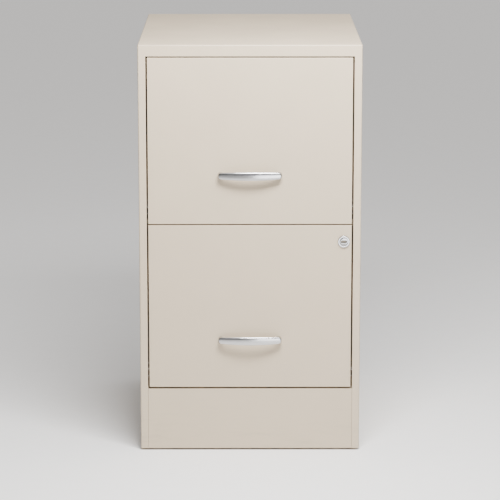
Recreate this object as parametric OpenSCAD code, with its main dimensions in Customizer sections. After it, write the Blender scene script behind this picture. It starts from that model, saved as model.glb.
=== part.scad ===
// Two-drawer letter-size steel filing cabinet with arc pulls and a cam lock.
// Millimetres, +Z up, drawers open towards -Y. The origin is on the floor, under the middle of the
// whole object (handles included). Modules draw with y = 0 on the cabinet's front plane.

/* [Case] */
// Overall width of the case
case_w = 362; // [330:1:460]
// Depth of the case from front plane to back
case_d = 457; // [380:1:700]
// Overall height from floor to top
case_h = 676; // [560:1:820]
// Sheet thickness of the case
case_t = 0.8; // [0.6:0.1:1.2]
// Outer radius of the folded case edges
case_bend = 2; // [1.5:0.5:4]
// Visible width of the two stiles beside the drawers
stile_w = 12.5; // [11:0.5:16]
// Visible height of the rail above the drawers
top_rail_h = 19; // [15:0.5:30]
// Height of the kick plate's face
kick_h = 102; // [80:0.5:130]
// Depth of the lips folded back round the front opening
lip_d = 10; // [8:1:11]

/* [Feet] */
// Gap between the floor and the case's lower edge
floor_gap = 3; // [2:0.5:8]
// Radius of a glide's pad
glide_r = 11; // [8:0.5:14]
// Gap between a glide's pad and the flange along the case's side
glide_gap = 1.5; // [0.5:0.5:10]
// Distance of a glide's centre from the case's front or back
glide_end = 26; // [26:1:40]

/* [Drawers] */
// Gap between a drawer front and each stile
side_gap = 2.5; // [2:0.5:5]
// Gap over each drawer front
top_gap = 2; // [1.5:0.5:4]
// Gap between the lower drawer front and the kick plate
kick_gap = 3; // [2:0.5:5]
// Depth of a drawer front from its face to its inner edge
front_d = 18; // [15:0.5:26]
// Sheet thickness of the drawers
drawer_t = 0.8; // [0.6:0.1:1.2]
// Outer radius of a drawer front's folded edges
front_bend = 2; // [1.5:0.5:3]
// Space between the case's outside and a drawer's side, which holds the slide
slide_room = 24; // [23:0.5:30]
// Distance of the folder rails below the drawer front's top edge
folder_drop = 17.5; // [15:0.5:60]
// How much lower the drawer's back wall is than its folder rails
back_drop = 55; // [20:1:120]
// Free space behind a closed drawer
rear_room = 25; // [20:1:60]
// Distance between the front and rear rollers when a drawer is fully out
roller_hold = 56; // [40:1:120]

/* [Slides] */
// Thickness of the slide steel
rail_t = 1.2; // [1:0.1:1.5]
// Radius of the slide rollers
roller_r = 10; // [8:0.5:12]
// Radius of a roller's journal
journal_r = 3; // [2.5:0.1:4]
// Radial running clearance of a roller on its journal
roller_play = 0.08; // [0.04:0.01:0.1]

/* [Handles] */
// Overall length of a handle
handle_l = 104.5; // [85:0.5:140]
// How far a handle stands off the drawer front
handle_reach = 16; // [15:1:30]
// How much the handle's front bulges between its ends
handle_rise = 7; // [3:0.5:7.5]
// Height of a handle's bar at its middle
handle_h = 13.5; // [11:0.5:18]
// Height of a handle's bar at its ends
handle_end_h = 10.5; // [9:0.5:13]
// Thickness of the bar at its middle
handle_t = 4; // [3.5:0.5:6]
// Length of drawer front that each handle foot covers
foot_l = 9; // [8:0.5:14]
// Height of the handle's centre above the drawer front's lower edge
handle_z = 81; // [60:1:200]

/* [Lock] */
// Distance of the lock's centre from the drawer front's right edge
lock_side = 12.8; // [12:0.1:14]
// Distance of the lock's centre from the drawer front's top edge
lock_drop = 27; // [20:0.5:40]
// Radius of the lock's bezel
bezel_r = 10; // [9:0.1:11]
// Radius of the lock's barrel
barrel_r = 8; // [7.6:0.1:8.6]
// Radius of the turning plug
plug_r = 6; // [5.5:0.1:6.5]
// Reach of the lock's cam from the plug's centre
cam_l = 25; // [22:0.5:26]

/* [Hidden] */

bend_steps = 5;                                  // flats that draw each folded edge
cut = 1;                                         // how far a cutter runs past what it cuts
fit = 0.1;                                       // clearance between parts that are fitted together
pin_fit = 0.05;                                  // clearance round a screw's shank
left = -1;
right = 1;

tub_w = case_w - 2 * slide_room;                 // outside width of a drawer's body
tub_x = tub_w / 2;
rear_roller_inset = 12;                          // rear roller's centre before the drawer's end
tub_end = case_d - rear_room;
rear_roller_y = tub_end - rear_roller_inset;
front_roller_inset = 16;                         // front roller's centre behind the drawer front
front_roller_y = front_d + front_roller_inset;
drawer_travel = rear_roller_y - front_roller_y - roller_hold;

front_y = -(case_d - handle_reach) / 2;          // places the front plane so that the origin is central
wall_x = case_w / 2 - case_t;                    // inner face of the case's side
bend_in = case_bend - case_t;                    // inner radius of the case's folds
opening_x = case_w / 2 - stile_w;                // edge of the drawer opening
opening_top = case_h - top_rail_h;
kick_top = floor_gap + kick_h;

front_w = 2 * (opening_x - side_gap);
front_h = (opening_top - kick_top - kick_gap - 2 * top_gap) / 2;
lower_z = kick_top + kick_gap;                   // lower edge of each drawer front
upper_z = lower_z + front_h + top_gap;

tub_lift = 10;                                   // drawer body's underside above the front's lower edge
tub_y = front_d + drawer_t;                      // the body starts behind the liner
side_h = front_h - tub_lift - folder_drop;
back_h = side_h - back_drop;

rail_lift = 2;                                   // rail's lower edge above the body's underside
rail_step = 1;                                   // rails end this far from what they run towards
rail_h = 24;
rail_out = 7;                                    // width of the flange that runs on the front roller
rail_start = tub_y + 2 * rail_step;
contact_gap = 0.3;                               // air left where a roller runs on steel
flange_under = rail_lift + rail_h - rail_t;      // running surface above the body's underside
roller_z = flange_under - contact_gap - roller_r;
track_z = roller_z - roller_r - contact_gap;     // track's running surface above the body's underside
track_roof = roller_z + roller_r + 2 * contact_gap;
stop_y = front_roller_y + roller_r + drawer_travel + rail_step;
front_roller_w = 5.5;
front_roller_gap = 0.8;                          // air between the case's roller and the drawer's rail
front_roller_x = tub_x + rail_t + front_roller_gap;
rear_roller_w = 12;
rear_roller_gap = 1.8;                           // length of shoulder between the drawer's rail and roller
rear_roller_x = tub_x + rail_t + rear_roller_gap;
track_lip = 0.5;                                 // the case's track is wider than its roller by this much
head_r = journal_r + 1.4;                        // roller pin's head
shoulder_r = journal_r + 1.5;
tail_r = journal_r - 0.6;                        // riveted end of a roller pin
pin_head_t = 1;
pin_sunk = 0.2;                                  // depth of a case pin's head below its roller's face
pin_proud = 0.1;                                 // height of a drawer pin's head above its roller's face
roller_end_play = 0.3;

rivet_r = 1.6;
rivet_head_r = 3.2;
rivet_head_t = 1;
rail_rivet_end = 50;                             // distance of the outer rivets from the rail's ends
rail_rivet_y = [rail_start + rail_rivet_end, (rail_start + tub_end) / 2, tub_end - rail_rivet_end];

lock_x = front_w / 2 - lock_side;
lock_z = lower_z + front_h - lock_drop;
bezel_t = 2.2;
plug_head_r = plug_r + 0.8;
bezel_edge = 0.8;                                // chamfer round the bezel
head_seat = 0.6;                                 // thickness left in the bezel behind the plug's head
head_sunk = 0.2;                                 // air before and behind the plug's head
plug_play = 0.08;
plug_end = front_d - 4.8;                        // y of the plug's rear face, where the cam sits
cam_t = 1.8;
cam_w = 12;
cam_square = 6;
lock_screw_r = 1.5;
screw_r = 2;
foot_hole_x = handle_l / 2 - foot_l / 2;         // handle screws sit in the middle of the feet

paint = [0.80, 0.76, 0.71];
zinc = [0.72, 0.73, 0.75];
chrome = [0.85, 0.86, 0.88];
nylon = [0.93, 0.92, 0.88];
black = [0.10, 0.10, 0.10];
brass = [0.78, 0.66, 0.38];

// ---- outlines -------------------------------------------------------------------------------

function unit(v) = v / norm(v);
function left_of(v) = [-v.y, v.x];
function turned(v, a) = [v.x * cos(a) - v.y * sin(a), v.x * sin(a) + v.y * cos(a)];

// Points and left-hand normals of one fold of a sheet's middle line, an arc of radius r at corner b
function fold(a, b, c, r) =
    let (d1 = unit(b - a), d2 = unit(c - b), turn = atan2(cross(d1, d2), d1 * d2), side = sign(turn),
         start = b - d1 * r * tan(abs(turn) / 2), centre = start + left_of(d1) * r * side)
    [for (k = [0:bend_steps]) let (t = turn * k / bend_steps)
        [centre + turned(start - centre, t), left_of(turned(d1, t))]];

// Closed outline of a sheet of thickness t that follows a path, with every corner folded
function sheet_outline(path, t, r) =
    let (last = len(path) - 1,
         line = [[path[0], left_of(unit(path[1] - path[0]))],
                 for (i = [1:last - 1]) each fold(path[i - 1], path[i], path[i + 1], r),
                 [path[last], left_of(unit(path[last] - path[last - 1]))]])
    [for (p = line) p[0] + p[1] * t / 2, for (i = [len(line) - 1:-1:0]) line[i][0] - line[i][1] * t / 2];

// Rectangle from lowest to highest corner whose corners are rounded with radius r
function round_rect(low, high, r) =
    [for (c = [[high.x - r, high.y - r, 0], [low.x + r, high.y - r, 90],
               [low.x + r, low.y + r, 180], [high.x - r, low.y + r, 270]],
          k = [0:bend_steps]) let (a = c[2] + 90 * k / bend_steps) [c.x + r * cos(a), c.y + r * sin(a)]];

// ---- solids from outlines --------------------------------------------------------------------

// Extrudes an outline drawn in X and Z along Y
module along_y(from, to) {
    translate([0, to, 0]) rotate([90, 0, 0]) linear_extrude(height = to - from) children();
}

// Extrudes an outline drawn in Y and Z along X
module along_x(from, to) {
    translate([from, 0, 0]) rotate([90, 0, 90]) linear_extrude(height = to - from) children();
}

// Extrudes an outline drawn in X and Y along Z
module along_z(from, to) {
    translate([0, 0, from]) linear_extrude(height = to - from) children();
}

module box(low, high) {
    translate(low) cube(high - low);
}

// Round bar or hole from one point along +X or +Y
module bar_x(x0, x1, y, z, r) {
    translate([x0, y, z]) rotate([0, 90, 0]) cylinder(h = x1 - x0, r = r, $fn = 48);
}

module bar_y(y0, y1, x, z, r) {
    translate([x, y0, z]) rotate([-90, 0, 0]) cylinder(h = y1 - y0, r = r, $fn = 48);
}

// Mirrors a right-hand part to the left
module on_side(side) {
    mirror([side == left ? 1 : 0, 0, 0]) children();
}

// Block with its upright and upper edges rounded
module rounded_box(low, high, r) {
    intersection() {
        along_z(low.z, high.z) polygon(round_rect([low.x, low.y], [high.x, high.y], r));
        along_y(low.y - cut, high.y + cut)
            polygon(round_rect([low.x, low.z - 2 * r], [high.x, high.z], r));
        along_x(low.x - cut, high.x + cut)
            polygon(round_rect([low.y, low.z - 2 * r], [high.y, high.z], r));
    }
}

// ---- case ------------------------------------------------------------------------------------

rear_frame = 14;                                 // width of the flange round the back panel
back_rivet_x = wall_x - rear_frame / 2;
back_rivet_rows = 4;
back_rivet_end = 60;

module wrap() {
    color(paint) difference() {
        union() {
            difference() {
                rounded_box([-case_w / 2, 0, floor_gap], [case_w / 2, case_d, case_h], case_bend);
                rounded_box([-wall_x, case_t, floor_gap - cut],
                    [wall_x, case_d - case_t, case_h - case_t], bend_in);
                box([-opening_x, -cut, floor_gap - cut], [opening_x, case_t + cut, opening_top]);
                box([-wall_x + rear_frame, case_d - case_t - cut, floor_gap - cut],
                    [wall_x - rear_frame, case_d + cut, case_h - rear_frame]);
            }
            for (side = [left, right]) on_side(side) {
                box([opening_x, case_t / 2, floor_gap], [opening_x + case_t, lip_d, opening_top + case_t]);
                box([opening_x, case_t / 2, floor_gap],
                    [wall_x + case_t / 2, case_d - case_t / 2, floor_gap + case_t]);
            }
            box([-opening_x - case_t / 2, case_t / 2, opening_top],
                [opening_x + case_t / 2, lip_d, opening_top + case_t]);
        }
        back_rivet_places() bar_y(case_d - case_t - cut, case_d + cut, 0, 0, rivet_r + pin_fit);
    }
}

panel_t = 0.7;                                   // sheet of the back panel
panel_y = case_d - case_t - panel_t;
panel_edge = bend_in + fit;                      // keeps the panel out of the case's folds
field_d = 3;                                     // depth and margin of the back panel's pressed field
field_margin = 42;

module rear_panel() {
    low = floor_gap + case_t + fit;
    high = case_h - case_t - panel_edge;
    field_x = wall_x - field_margin;
    color(paint) difference() {
        union() {
            box([-wall_x + panel_edge, panel_y, low], [wall_x - panel_edge, panel_y + panel_t, high]);
            box([-field_x, panel_y - field_d, low + field_margin], [field_x, panel_y, high - field_margin]);
        }
        box([-field_x + panel_t, panel_y - field_d + panel_t, low + field_margin + panel_t],
            [field_x - panel_t, panel_y + panel_t + cut, high - field_margin - panel_t]);
        back_rivet_places() bar_y(panel_y - cut, panel_y + panel_t + cut, 0, 0, rivet_r + pin_fit);
    }
}

module back_rivet_places() {
    step = (case_h - 2 * back_rivet_end) / (back_rivet_rows - 1);
    for (x = [-back_rivet_x, back_rivet_x], i = [0:back_rivet_rows - 1])
        translate([x, 0, back_rivet_end + i * step]) children();
}

// Rivets through the back panel and the case's rear flange, heads inside and tails flush
module panel_rivets() {
    color(zinc) back_rivet_places() {
        bar_y(panel_y - rivet_head_t, panel_y, 0, 0, rivet_head_r);
        bar_y(panel_y, case_d, 0, 0, rivet_r);
    }
}

kick_seam = 0.15;                                // joint between the kick plate and each stile
kick_shelf = 16;                                 // depth of the kick plate's upper flange
kick_foot = 10;                                  // depth of the kick plate's lower flange
kick_turn = 12;                                  // the shelf's rear edge turns down this far

module kick() {
    x = opening_x - kick_seam;
    color(paint) {
        along_x(-x, x) polygon(sheet_outline([
            [kick_foot, floor_gap + case_t / 2], [case_t / 2, floor_gap + case_t / 2],
            [case_t / 2, kick_top - case_t / 2], [kick_shelf, kick_top - case_t / 2],
            [kick_shelf, kick_top - kick_turn]], case_t, case_bend - case_t / 2));
        for (side = [left, right]) on_side(side)
            box([x - case_t, case_t / 2, floor_gap + case_bend], [x, kick_foot, kick_top - case_bend]);
    }
}

gusset_t = 1.5;
gusset_l = wall_x - glide_centre(false).x + glide_r + 10;
gusset_tab = 18;                                 // upright tab against the case's side
gusset_corner = gusset_l / 3;                    // the plate's free corner is cut off along both of its edges
gusset_start = kick_foot + 1;                    // leaves air behind the kick plate
gusset_z = floor_gap + case_t;

// Angle plate with a hole for a glide's stem, drawn for the front right corner
module corner_gusset() {
    c = glide_centre(false);
    x = wall_x - gusset_l;
    end = gusset_start + gusset_l;
    difference() {
        union() {
            along_z(gusset_z, gusset_z + gusset_t) polygon([
                [wall_x, gusset_start], [wall_x, end], [wall_x - gusset_corner, end],
                [x, end - gusset_corner], [x, gusset_start]]);
            box([wall_x - gusset_t, gusset_start, gusset_z], [wall_x, end, gusset_z + gusset_tab]);
        }
        translate([c.x, c.y, gusset_z - cut])
            cylinder(h = gusset_t + 2 * cut, r = glide_stem_r + fit, $fn = 48);
    }
}

// The rear pair is the front pair turned end for end
module gussets() {
    color(zinc) for (side = [left, right]) on_side(side) {
        corner_gusset();
        translate([0, case_d, 0]) mirror([0, 1, 0]) corner_gusset();
    }
}

// Channel that stiffens the case's lower rear edge, on the gussets and against the back panel
module base_rail() {
    x = wall_x - gusset_t - fit;
    z = gusset_z + gusset_t;
    flange = 15;
    tall = 40;
    color(paint) along_x(-x, x) polygon(sheet_outline([
        [panel_y - flange, z + rail_t / 2], [panel_y - rail_t / 2, z + rail_t / 2],
        [panel_y - rail_t / 2, z + tall - rail_t / 2], [panel_y - flange, z + tall - rail_t / 2]],
        rail_t, case_bend));
}

// Channel across the case behind the joint between the drawer fronts, with a tab at each end
module cross_rail() {
    gap = 5;                                     // air behind the drawer fronts
    depth = 22;
    rise = 3;                                    // height above the upper drawer front's lower edge
    drop = 11;                                   // height of the channel
    y0 = front_d + gap + rail_t / 2;
    y1 = y0 + depth;
    top = upper_z + rise;
    color(paint) {
        along_x(-wall_x, wall_x) polygon(sheet_outline([
            [y0, top - drop], [y0, top - rail_t / 2], [y1, top - rail_t / 2], [y1, top - drop]],
            rail_t, case_bend));
        for (side = [left, right]) on_side(side)
            box([wall_x - rail_t, y0, top - 2 * drop], [wall_x, y1, top - rail_t / 2]);
    }
}

glide_stem_r = 3.9;
glide_snap = 2.5;                                // height of the snap head
glide_catch = 0.8;                               // how far the snap head stands out round the stem
glide_edge = 0.8;                                // chamfer under the pad

function glide_centre(rear) =
    [opening_x - glide_gap - glide_r, rear ? case_d - glide_end : glide_end];

// Nylon foot: pad on the floor, stem through the gusset, snap head above it
module glide(side, rear) {
    c = glide_centre(rear);
    color(black) on_side(side) translate([c.x, c.y, 0]) {
        cylinder(h = glide_edge, r1 = glide_r - glide_edge, r2 = glide_r, $fn = 64);
        translate([0, 0, glide_edge]) cylinder(h = gusset_z - glide_edge, r = glide_r, $fn = 64);
        cylinder(h = gusset_z + gusset_t + glide_snap, r = glide_stem_r, $fn = 48);
        translate([0, 0, gusset_z + gusset_t])
            cylinder(h = glide_snap, r1 = glide_stem_r + glide_catch, r2 = glide_stem_r, $fn = 48);
    }
}

// ---- slides ----------------------------------------------------------------------------------

case_rail_y = [rail_start + rail_step, rear_roller_y + roller_r + rail_step + rail_t];

// Channel on the case's side. Its lower flange carries the drawer's roller and its upper flange keeps it
// down; the roof is narrower so that the drawer's own flange passes beside it.
module case_rail(side, z0) {
    z = z0 + tub_lift;
    track_x = rear_roller_x - track_lip;
    roof_x = rear_roller_x + rear_roller_w / 2 + track_lip;
    color(zinc) on_side(side) difference() {
        union() {
            along_y(case_rail_y[0], case_rail_y[1]) polygon(sheet_outline([
                [track_x, z + track_z - rail_t / 2], [wall_x - rail_t / 2, z + track_z - rail_t / 2],
                [wall_x - rail_t / 2, z + track_roof + rail_t / 2], [roof_x, z + track_roof + rail_t / 2]],
                rail_t, rail_t));
            box([track_x, case_rail_y[1] - rail_t, z + track_z - rail_t / 2],
                [wall_x - rail_t / 2, case_rail_y[1], z + track_roof + rail_t / 2]);
        }
        bar_x(wall_x - rail_t - cut, wall_x + cut, front_roller_y, z + roller_z, tail_r + fit);
        for (y = rail_rivet_y) bar_x(wall_x - rail_t - cut, wall_x + cut, y, z + roller_z, rivet_r + pin_fit);
    }
}

module case_rivets() {
    color(zinc) for (side = [left, right], z0 = [lower_z, upper_z], y = rail_rivet_y) on_side(side) {
        z = z0 + tub_lift + roller_z;
        bar_x(wall_x - rail_t, wall_x, y, z, rivet_r);
        bar_x(wall_x - rail_t - rivet_head_t, wall_x - rail_t, y, z, rivet_head_r);
    }
}

// Stepped pins riveted to the case rails; the front rollers turn on them
module case_pins() {
    end_x = front_roller_x + front_roller_w + roller_end_play;
    color(zinc) for (side = [left, right], z0 = [lower_z, upper_z]) on_side(side) {
        z = z0 + tub_lift + roller_z;
        bar_x(wall_x - rail_t, wall_x, front_roller_y, z, tail_r);
        bar_x(end_x, wall_x - rail_t, front_roller_y, z, shoulder_r);
        bar_x(front_roller_x + pin_sunk, end_x, front_roller_y, z, journal_r);
        bar_x(front_roller_x + pin_sunk, front_roller_x + pin_head_t, front_roller_y, z, head_r);
    }
}

module roller(side, x, w, y, z0) {
    z = z0 + tub_lift + roller_z;
    recess = pin_head_t + roller_end_play;
    color(nylon) on_side(side) difference() {
        bar_x(x, x + w, y, z, roller_r);
        bar_x(x - cut, x + w + cut, y, z, journal_r + roller_play);
        bar_x(x - cut, x + recess, y, z, shoulder_r + roller_end_play);
        bar_x(x + w - recess, x + w + cut, y, z, shoulder_r + roller_end_play);
    }
}

module front_roller(side, z0) {
    roller(side, front_roller_x, front_roller_w, front_roller_y, z0);
}

module rear_roller(side, z0) {
    roller(side, rear_roller_x, rear_roller_w, rear_roller_y, z0);
}

// Angle riveted to the drawer's side. Its flange runs on the case's front roller, ends before the
// rear roller, and has a tab that meets the front roller when the drawer is fully out.
module drawer_rail(side, z0) {
    z = z0 + tub_lift;
    top = z + rail_lift + rail_h;
    web_x = tub_x + rail_t;
    flange_x = tub_x + rail_out;
    roller_room = 5;                             // the flange stops this far before the rear roller
    tab_h = 6;
    tab_gap = 1.5;                               // air between the tab and the web
    color(zinc) on_side(side) difference() {
        union() {
            box([tub_x, rail_start, z + rail_lift], [web_x, tub_end - rail_step, top]);
            box([tub_x, rail_start, top - rail_t], [flange_x, rear_roller_y - roller_r - roller_room, top]);
            box([web_x + tab_gap, stop_y, top - rail_t - tab_h],
                [flange_x, stop_y + rail_t, top - rail_t / 2]);
        }
        bar_x(tub_x - cut, web_x + cut, rear_roller_y, z + roller_z, tail_r + fit);
        for (y = rail_rivet_y) bar_x(tub_x - cut, web_x + cut, y, z + roller_z, rivet_r + pin_fit);
    }
}

module rail_rivets(z0) {
    color(zinc) for (side = [left, right], y = rail_rivet_y) on_side(side) {
        z = z0 + tub_lift + roller_z;
        bar_x(tub_x - drawer_t, tub_x + rail_t, y, z, rivet_r);
        bar_x(tub_x - drawer_t - rivet_head_t, tub_x - drawer_t, y, z, rivet_head_r);
    }
}

// Stepped pins riveted to the drawer rails; the rear rollers turn on them
module roller_pins(z0) {
    end_x = rear_roller_x + rear_roller_w + pin_proud;
    journal_x = rear_roller_x + pin_head_t;
    color(zinc) for (side = [left, right]) on_side(side) {
        z = z0 + tub_lift + roller_z;
        bar_x(tub_x, tub_x + rail_t, rear_roller_y, z, tail_r);
        bar_x(tub_x + rail_t, journal_x, rear_roller_y, z, shoulder_r);
        bar_x(journal_x, end_x, rear_roller_y, z, journal_r);
        bar_x(end_x - pin_head_t, end_x, rear_roller_y, z, head_r);
    }
}

// ---- drawers ---------------------------------------------------------------------------------

front_lip = 8;                                   // folded in behind a drawer front's edges
liner_edge = 4;                                  // the liner stops this far inside the front's edges
access_r = 5;                                    // holes in the liner that reach the handle screws
slot_room = 1;                                   // air round the cam in its slot
screw_room = 0.3;                                // air round a handle screw in the drawer front
tab_w = 12;                                      // inward tabs and flanges of the drawer's sheets

// Block that starts at y = low.y with its front and corner edges rounded
module front_block(low, high, r) {
    intersection() {
        along_z(low.z, high.z) polygon(round_rect([low.x, low.y], [high.x, high.y + 2 * r], r));
        along_x(low.x, high.x) polygon(round_rect([low.y, low.z], [high.y + 2 * r, high.z], r));
        along_y(low.y, high.y) polygon(round_rect([low.x, low.z], [high.x, high.z], r));
    }
}

// Shallow pan: painted face, four returns, and a lip behind each
module drawer_front(z0, locked) {
    x = front_w / 2;
    t = drawer_t;
    color(paint) difference() {
        front_block([-x, 0, z0], [x, front_d, z0 + front_h], front_bend);
        front_block([-x + t, t, z0 + t], [x - t, front_d - t, z0 + front_h - t], front_bend - t);
        box([-x + front_lip, front_d - 2 * t, z0 + front_lip],
            [x - front_lip, front_d + cut, z0 + front_h - front_lip]);
        for (s = [left, right]) bar_y(-cut, t + cut, s * foot_hole_x, z0 + handle_z, screw_r + screw_room);
        if (locked) {
            lock_shape(-cut, t + cut, fit);
            box([x - t - cut, plug_end - slot_room, lock_z - cam_l - slot_room],
                [x + cut, plug_end + cam_t + slot_room, lock_z + cam_w / 2 + slot_room]);
        }
    }
}

// Plate that closes the drawer front from inside
module drawer_liner(z0) {
    x = front_w / 2 - liner_edge;
    color(paint) difference() {
        box([-x, front_d, z0 + liner_edge], [x, tub_y, z0 + front_h - liner_edge]);
        for (s = [left, right]) bar_y(front_d - cut, tub_y + cut, s * foot_hole_x, z0 + handle_z, access_r);
    }
}

// One folded sheet: flange under the bottom, wall, and a top edge rolled inwards that carries folders
module drawer_side(side, z0) {
    z = z0 + tub_lift;
    t = drawer_t;
    hem = 3.5;                                   // width and drop of the folder rail
    hem_drop = 9;
    color(paint) on_side(side) difference() {
        union() {
            along_y(tub_y, tub_end) polygon(sheet_outline([
                [tub_x - tab_w, z + t / 2], [tub_x - t / 2, z + t / 2], [tub_x - t / 2, z + side_h - t / 2],
                [tub_x - hem + t / 2, z + side_h - t / 2],
                [tub_x - hem + t / 2, z + side_h - hem_drop]], t, t));
            box([tub_x - tab_w, tub_y, z + 2 * tab_w], [tub_x - t / 2, tub_y + t, z + side_h - 2 * tab_w]);
        }
        for (y = rail_rivet_y) bar_x(tub_x - t - cut, tub_x + cut, y, z + roller_z, rivet_r + pin_fit);
    }
}

// Bottom sheet on the sides' flanges, turned up behind the liner
module drawer_bottom(z0) {
    z = z0 + tub_lift + 1.5 * drawer_t;
    x = tub_x - 1.5 * drawer_t - fit;
    color(paint) along_x(-x, x) polygon(sheet_outline([
        [tub_y + drawer_t / 2, z + tab_w], [tub_y + drawer_t / 2, z], [tub_end, z]], drawer_t, drawer_t));
}

// Back wall on the bottom sheet, with a flange along each side
module drawer_back(z0) {
    z = z0 + tub_lift;
    x = tub_x - 1.5 * drawer_t - fit;
    y = tub_end - drawer_t / 2;
    color(paint) along_z(z + 2 * drawer_t, z + back_h) polygon(sheet_outline([
        [-x, tub_end - tab_w], [-x, y], [x, y], [x, tub_end - tab_w]], drawer_t, drawer_t));
}

// ---- handles ---------------------------------------------------------------------------------

handle_corner = 4;                               // radius where a leg turns into the bar, outside
handle_fillet = 3;                               // and inside
screw_depth = 4.6;                               // how far a screw enters the handle
hole_depth = 5.2;
swell_step = 1 / 8;                              // step between the points of the bar's upper and lower edges

// Radius of the arc through (-half, 0), (0, rise) and (half, 0)
function arc_r(half, rise) = (half * half + rise * rise) / (2 * rise);

// Height of the bar at a share x of its half length, from -1 to 1
function swelled(x) = handle_h - (handle_h - handle_end_h) * x * x;

// Upright block under an arc of radius r whose middle stands off by reach, seen from above. Its two legs
// are upright to the front plane, and a corner of the given radius joins each leg to the arc.
module bowed(half, reach, r, corner) {
    corner_x = half - corner;
    corner_y = reach - r + sqrt(pow(r - corner, 2) - corner_x * corner_x);
    tall = 2 * handle_h;
    intersection() {
        translate([0, r - reach, -tall / 2]) cylinder(h = tall, r = r, $fn = 180);
        box([-corner_x, -reach - cut, -tall / 2], [corner_x, cut, tall / 2]);
    }
    for (s = [left, right]) {
        translate([s * corner_x, -corner_y, -tall / 2]) cylinder(h = tall, r = corner, $fn = 64);
        box([s * half - (s + 1) * corner / 2, -corner_y, -tall / 2],
            [s * half - (s - 1) * corner / 2, cut, tall / 2]);
    }
}

// Bow between two legs: outer and inner blocks from above, a slight swell from the front
module handle(z0) {
    half = handle_l / 2;
    outer = arc_r(half, handle_rise);
    color(chrome) translate([0, 0, z0 + handle_z]) difference() {
        intersection() {
            bowed(half, handle_reach, outer, handle_corner);
            along_y(-handle_reach - cut, 0) polygon([
                for (x = [-1:swell_step:1]) [half * x, swelled(x) / 2],
                for (x = [1:-swell_step:-1]) [half * x, -swelled(x) / 2]]);
        }
        bowed(half - foot_l, handle_reach - handle_t, outer - handle_t, handle_fillet);
        for (s = [left, right]) bar_y(-hole_depth, cut, s * foot_hole_x, 0, screw_r + pin_fit);
    }
}

// Pan-head screws put in from behind the drawer front
module handle_screws(z0) {
    head_t = 2.4;
    recess_t = 1.2;                              // depth of the cross recess
    recess = [2.4, 0.5];                         // half length and half width of its arms
    head_y = drawer_t + head_t;
    color(zinc) for (s = [left, right]) translate([s * foot_hole_x, 0, z0 + handle_z]) {
        bar_y(-screw_depth, drawer_t, 0, 0, screw_r);
        difference() {
            bar_y(drawer_t, head_y, 0, 0, 2 * screw_r);
            box([-recess.x, head_y - recess_t, -recess.y], [recess.x, head_y + cut, recess.y]);
            box([-recess.y, head_y - recess_t, -recess.x], [recess.y, head_y + cut, recess.x]);
        }
    }
}

// ---- lock ------------------------------------------------------------------------------------

barrel_end = plug_end - 0.4;
flat_z = barrel_r - 1.5;                         // two flats keep the barrel from turning
wafer_t = 0.9;
wafer_size = [10, 5.4];
key_size = [8.4, 2.2];                           // keyway, lying flat
key_end = plug_end - 2.2;
wafer_end = 1.5;                                 // first and last wafers' distance from the keyway's ends
wafer_y = [for (k = [0:3]) wafer_end + k * (key_end - 2 * wafer_end - wafer_t) / 3];

// Round bar with two flats, centred on the lock
module lock_shape(y0, y1, gap) {
    intersection() {
        bar_y(y0, y1, lock_x, lock_z, barrel_r + gap);
        box([lock_x - barrel_r - cut, y0 - cut, lock_z - flat_z - gap],
            [lock_x + barrel_r + cut, y1 + cut, lock_z + flat_z + gap]);
    }
}

module barrel() {
    color(chrome) difference() {
        union() {
            translate([lock_x, 0, lock_z]) rotate([90, 0, 0]) {
                cylinder(h = bezel_t - bezel_edge, r = bezel_r, $fn = 96);
                translate([0, 0, bezel_t - bezel_edge])
                    cylinder(h = bezel_edge, r1 = bezel_r, r2 = bezel_r - bezel_edge, $fn = 96);
            }
            lock_shape(-head_seat, barrel_end, 0);
        }
        bar_y(-bezel_t - cut, barrel_end + cut, lock_x, lock_z, plug_r + plug_play);
        bar_y(-bezel_t - cut, -head_seat, lock_x, lock_z, plug_head_r + plug_play);
    }
}

// Horseshoe clip across the barrel's flats, behind the drawer front's sheet
module clip() {
    clip_t = 1.5;
    wide = 10.6;
    leg = 4;                                     // width of the clip's legs beyond the flats
    corner_r = 2;
    tall = flat_z + leg;
    color(zinc) difference() {
        along_y(drawer_t, drawer_t + clip_t)
            polygon(round_rect([lock_x - wide, lock_z - tall], [lock_x + wide, lock_z + tall], corner_r));
        lock_shape(0, drawer_t + clip_t + cut, fit);
        box([lock_x - wide - cut, 0, lock_z - flat_z - fit],
            [lock_x, drawer_t + clip_t + cut, lock_z + flat_z + fit]);
    }
}

module plug() {
    color(chrome) difference() {
        union() {
            bar_y(-bezel_t + head_sunk, -head_seat - head_sunk, lock_x, lock_z, plug_head_r);
            bar_y(-head_seat - head_sunk, plug_end, lock_x, lock_z, plug_r);
            lock_slot(plug_end - cut, plug_end + cam_t - fit, [cam_square, cam_square]);
        }
        lock_slot(-bezel_t - cut, key_end, key_size);
        for (y = wafer_y) lock_slot(y - fit, y + wafer_t + fit, wafer_size + [2 * fit, 2 * fit]);
        bar_y(key_end - cut, plug_end + cam_t + cut, lock_x, lock_z, lock_screw_r + pin_fit);
    }
}

// Flat-lying rectangle of the given width and height, centred on the lock
module lock_slot(y0, y1, size) {
    box([lock_x - size.x / 2, y0, lock_z - size.y / 2], [lock_x + size.x / 2, y1, lock_z + size.y / 2]);
}

module wafers() {
    color(brass) for (y = wafer_y) difference() {
        lock_slot(y, y + wafer_t, wafer_size);
        lock_slot(y - cut, y + wafer_t + cut, key_size);
    }
}

// Arm that hangs down when open and swings behind the stile when locked
module cam() {
    boss_r = 7;
    color(zinc) difference() {
        union() {
            bar_y(plug_end, plug_end + cam_t, lock_x, lock_z, boss_r);
            box([lock_x - cam_w / 2, plug_end, lock_z - cam_l],
                [lock_x + cam_w / 2, plug_end + cam_t, lock_z]);
        }
        lock_slot(plug_end - cut, plug_end + cam_t + cut, [cam_square + 2 * fit, cam_square + 2 * fit]);
    }
}

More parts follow.
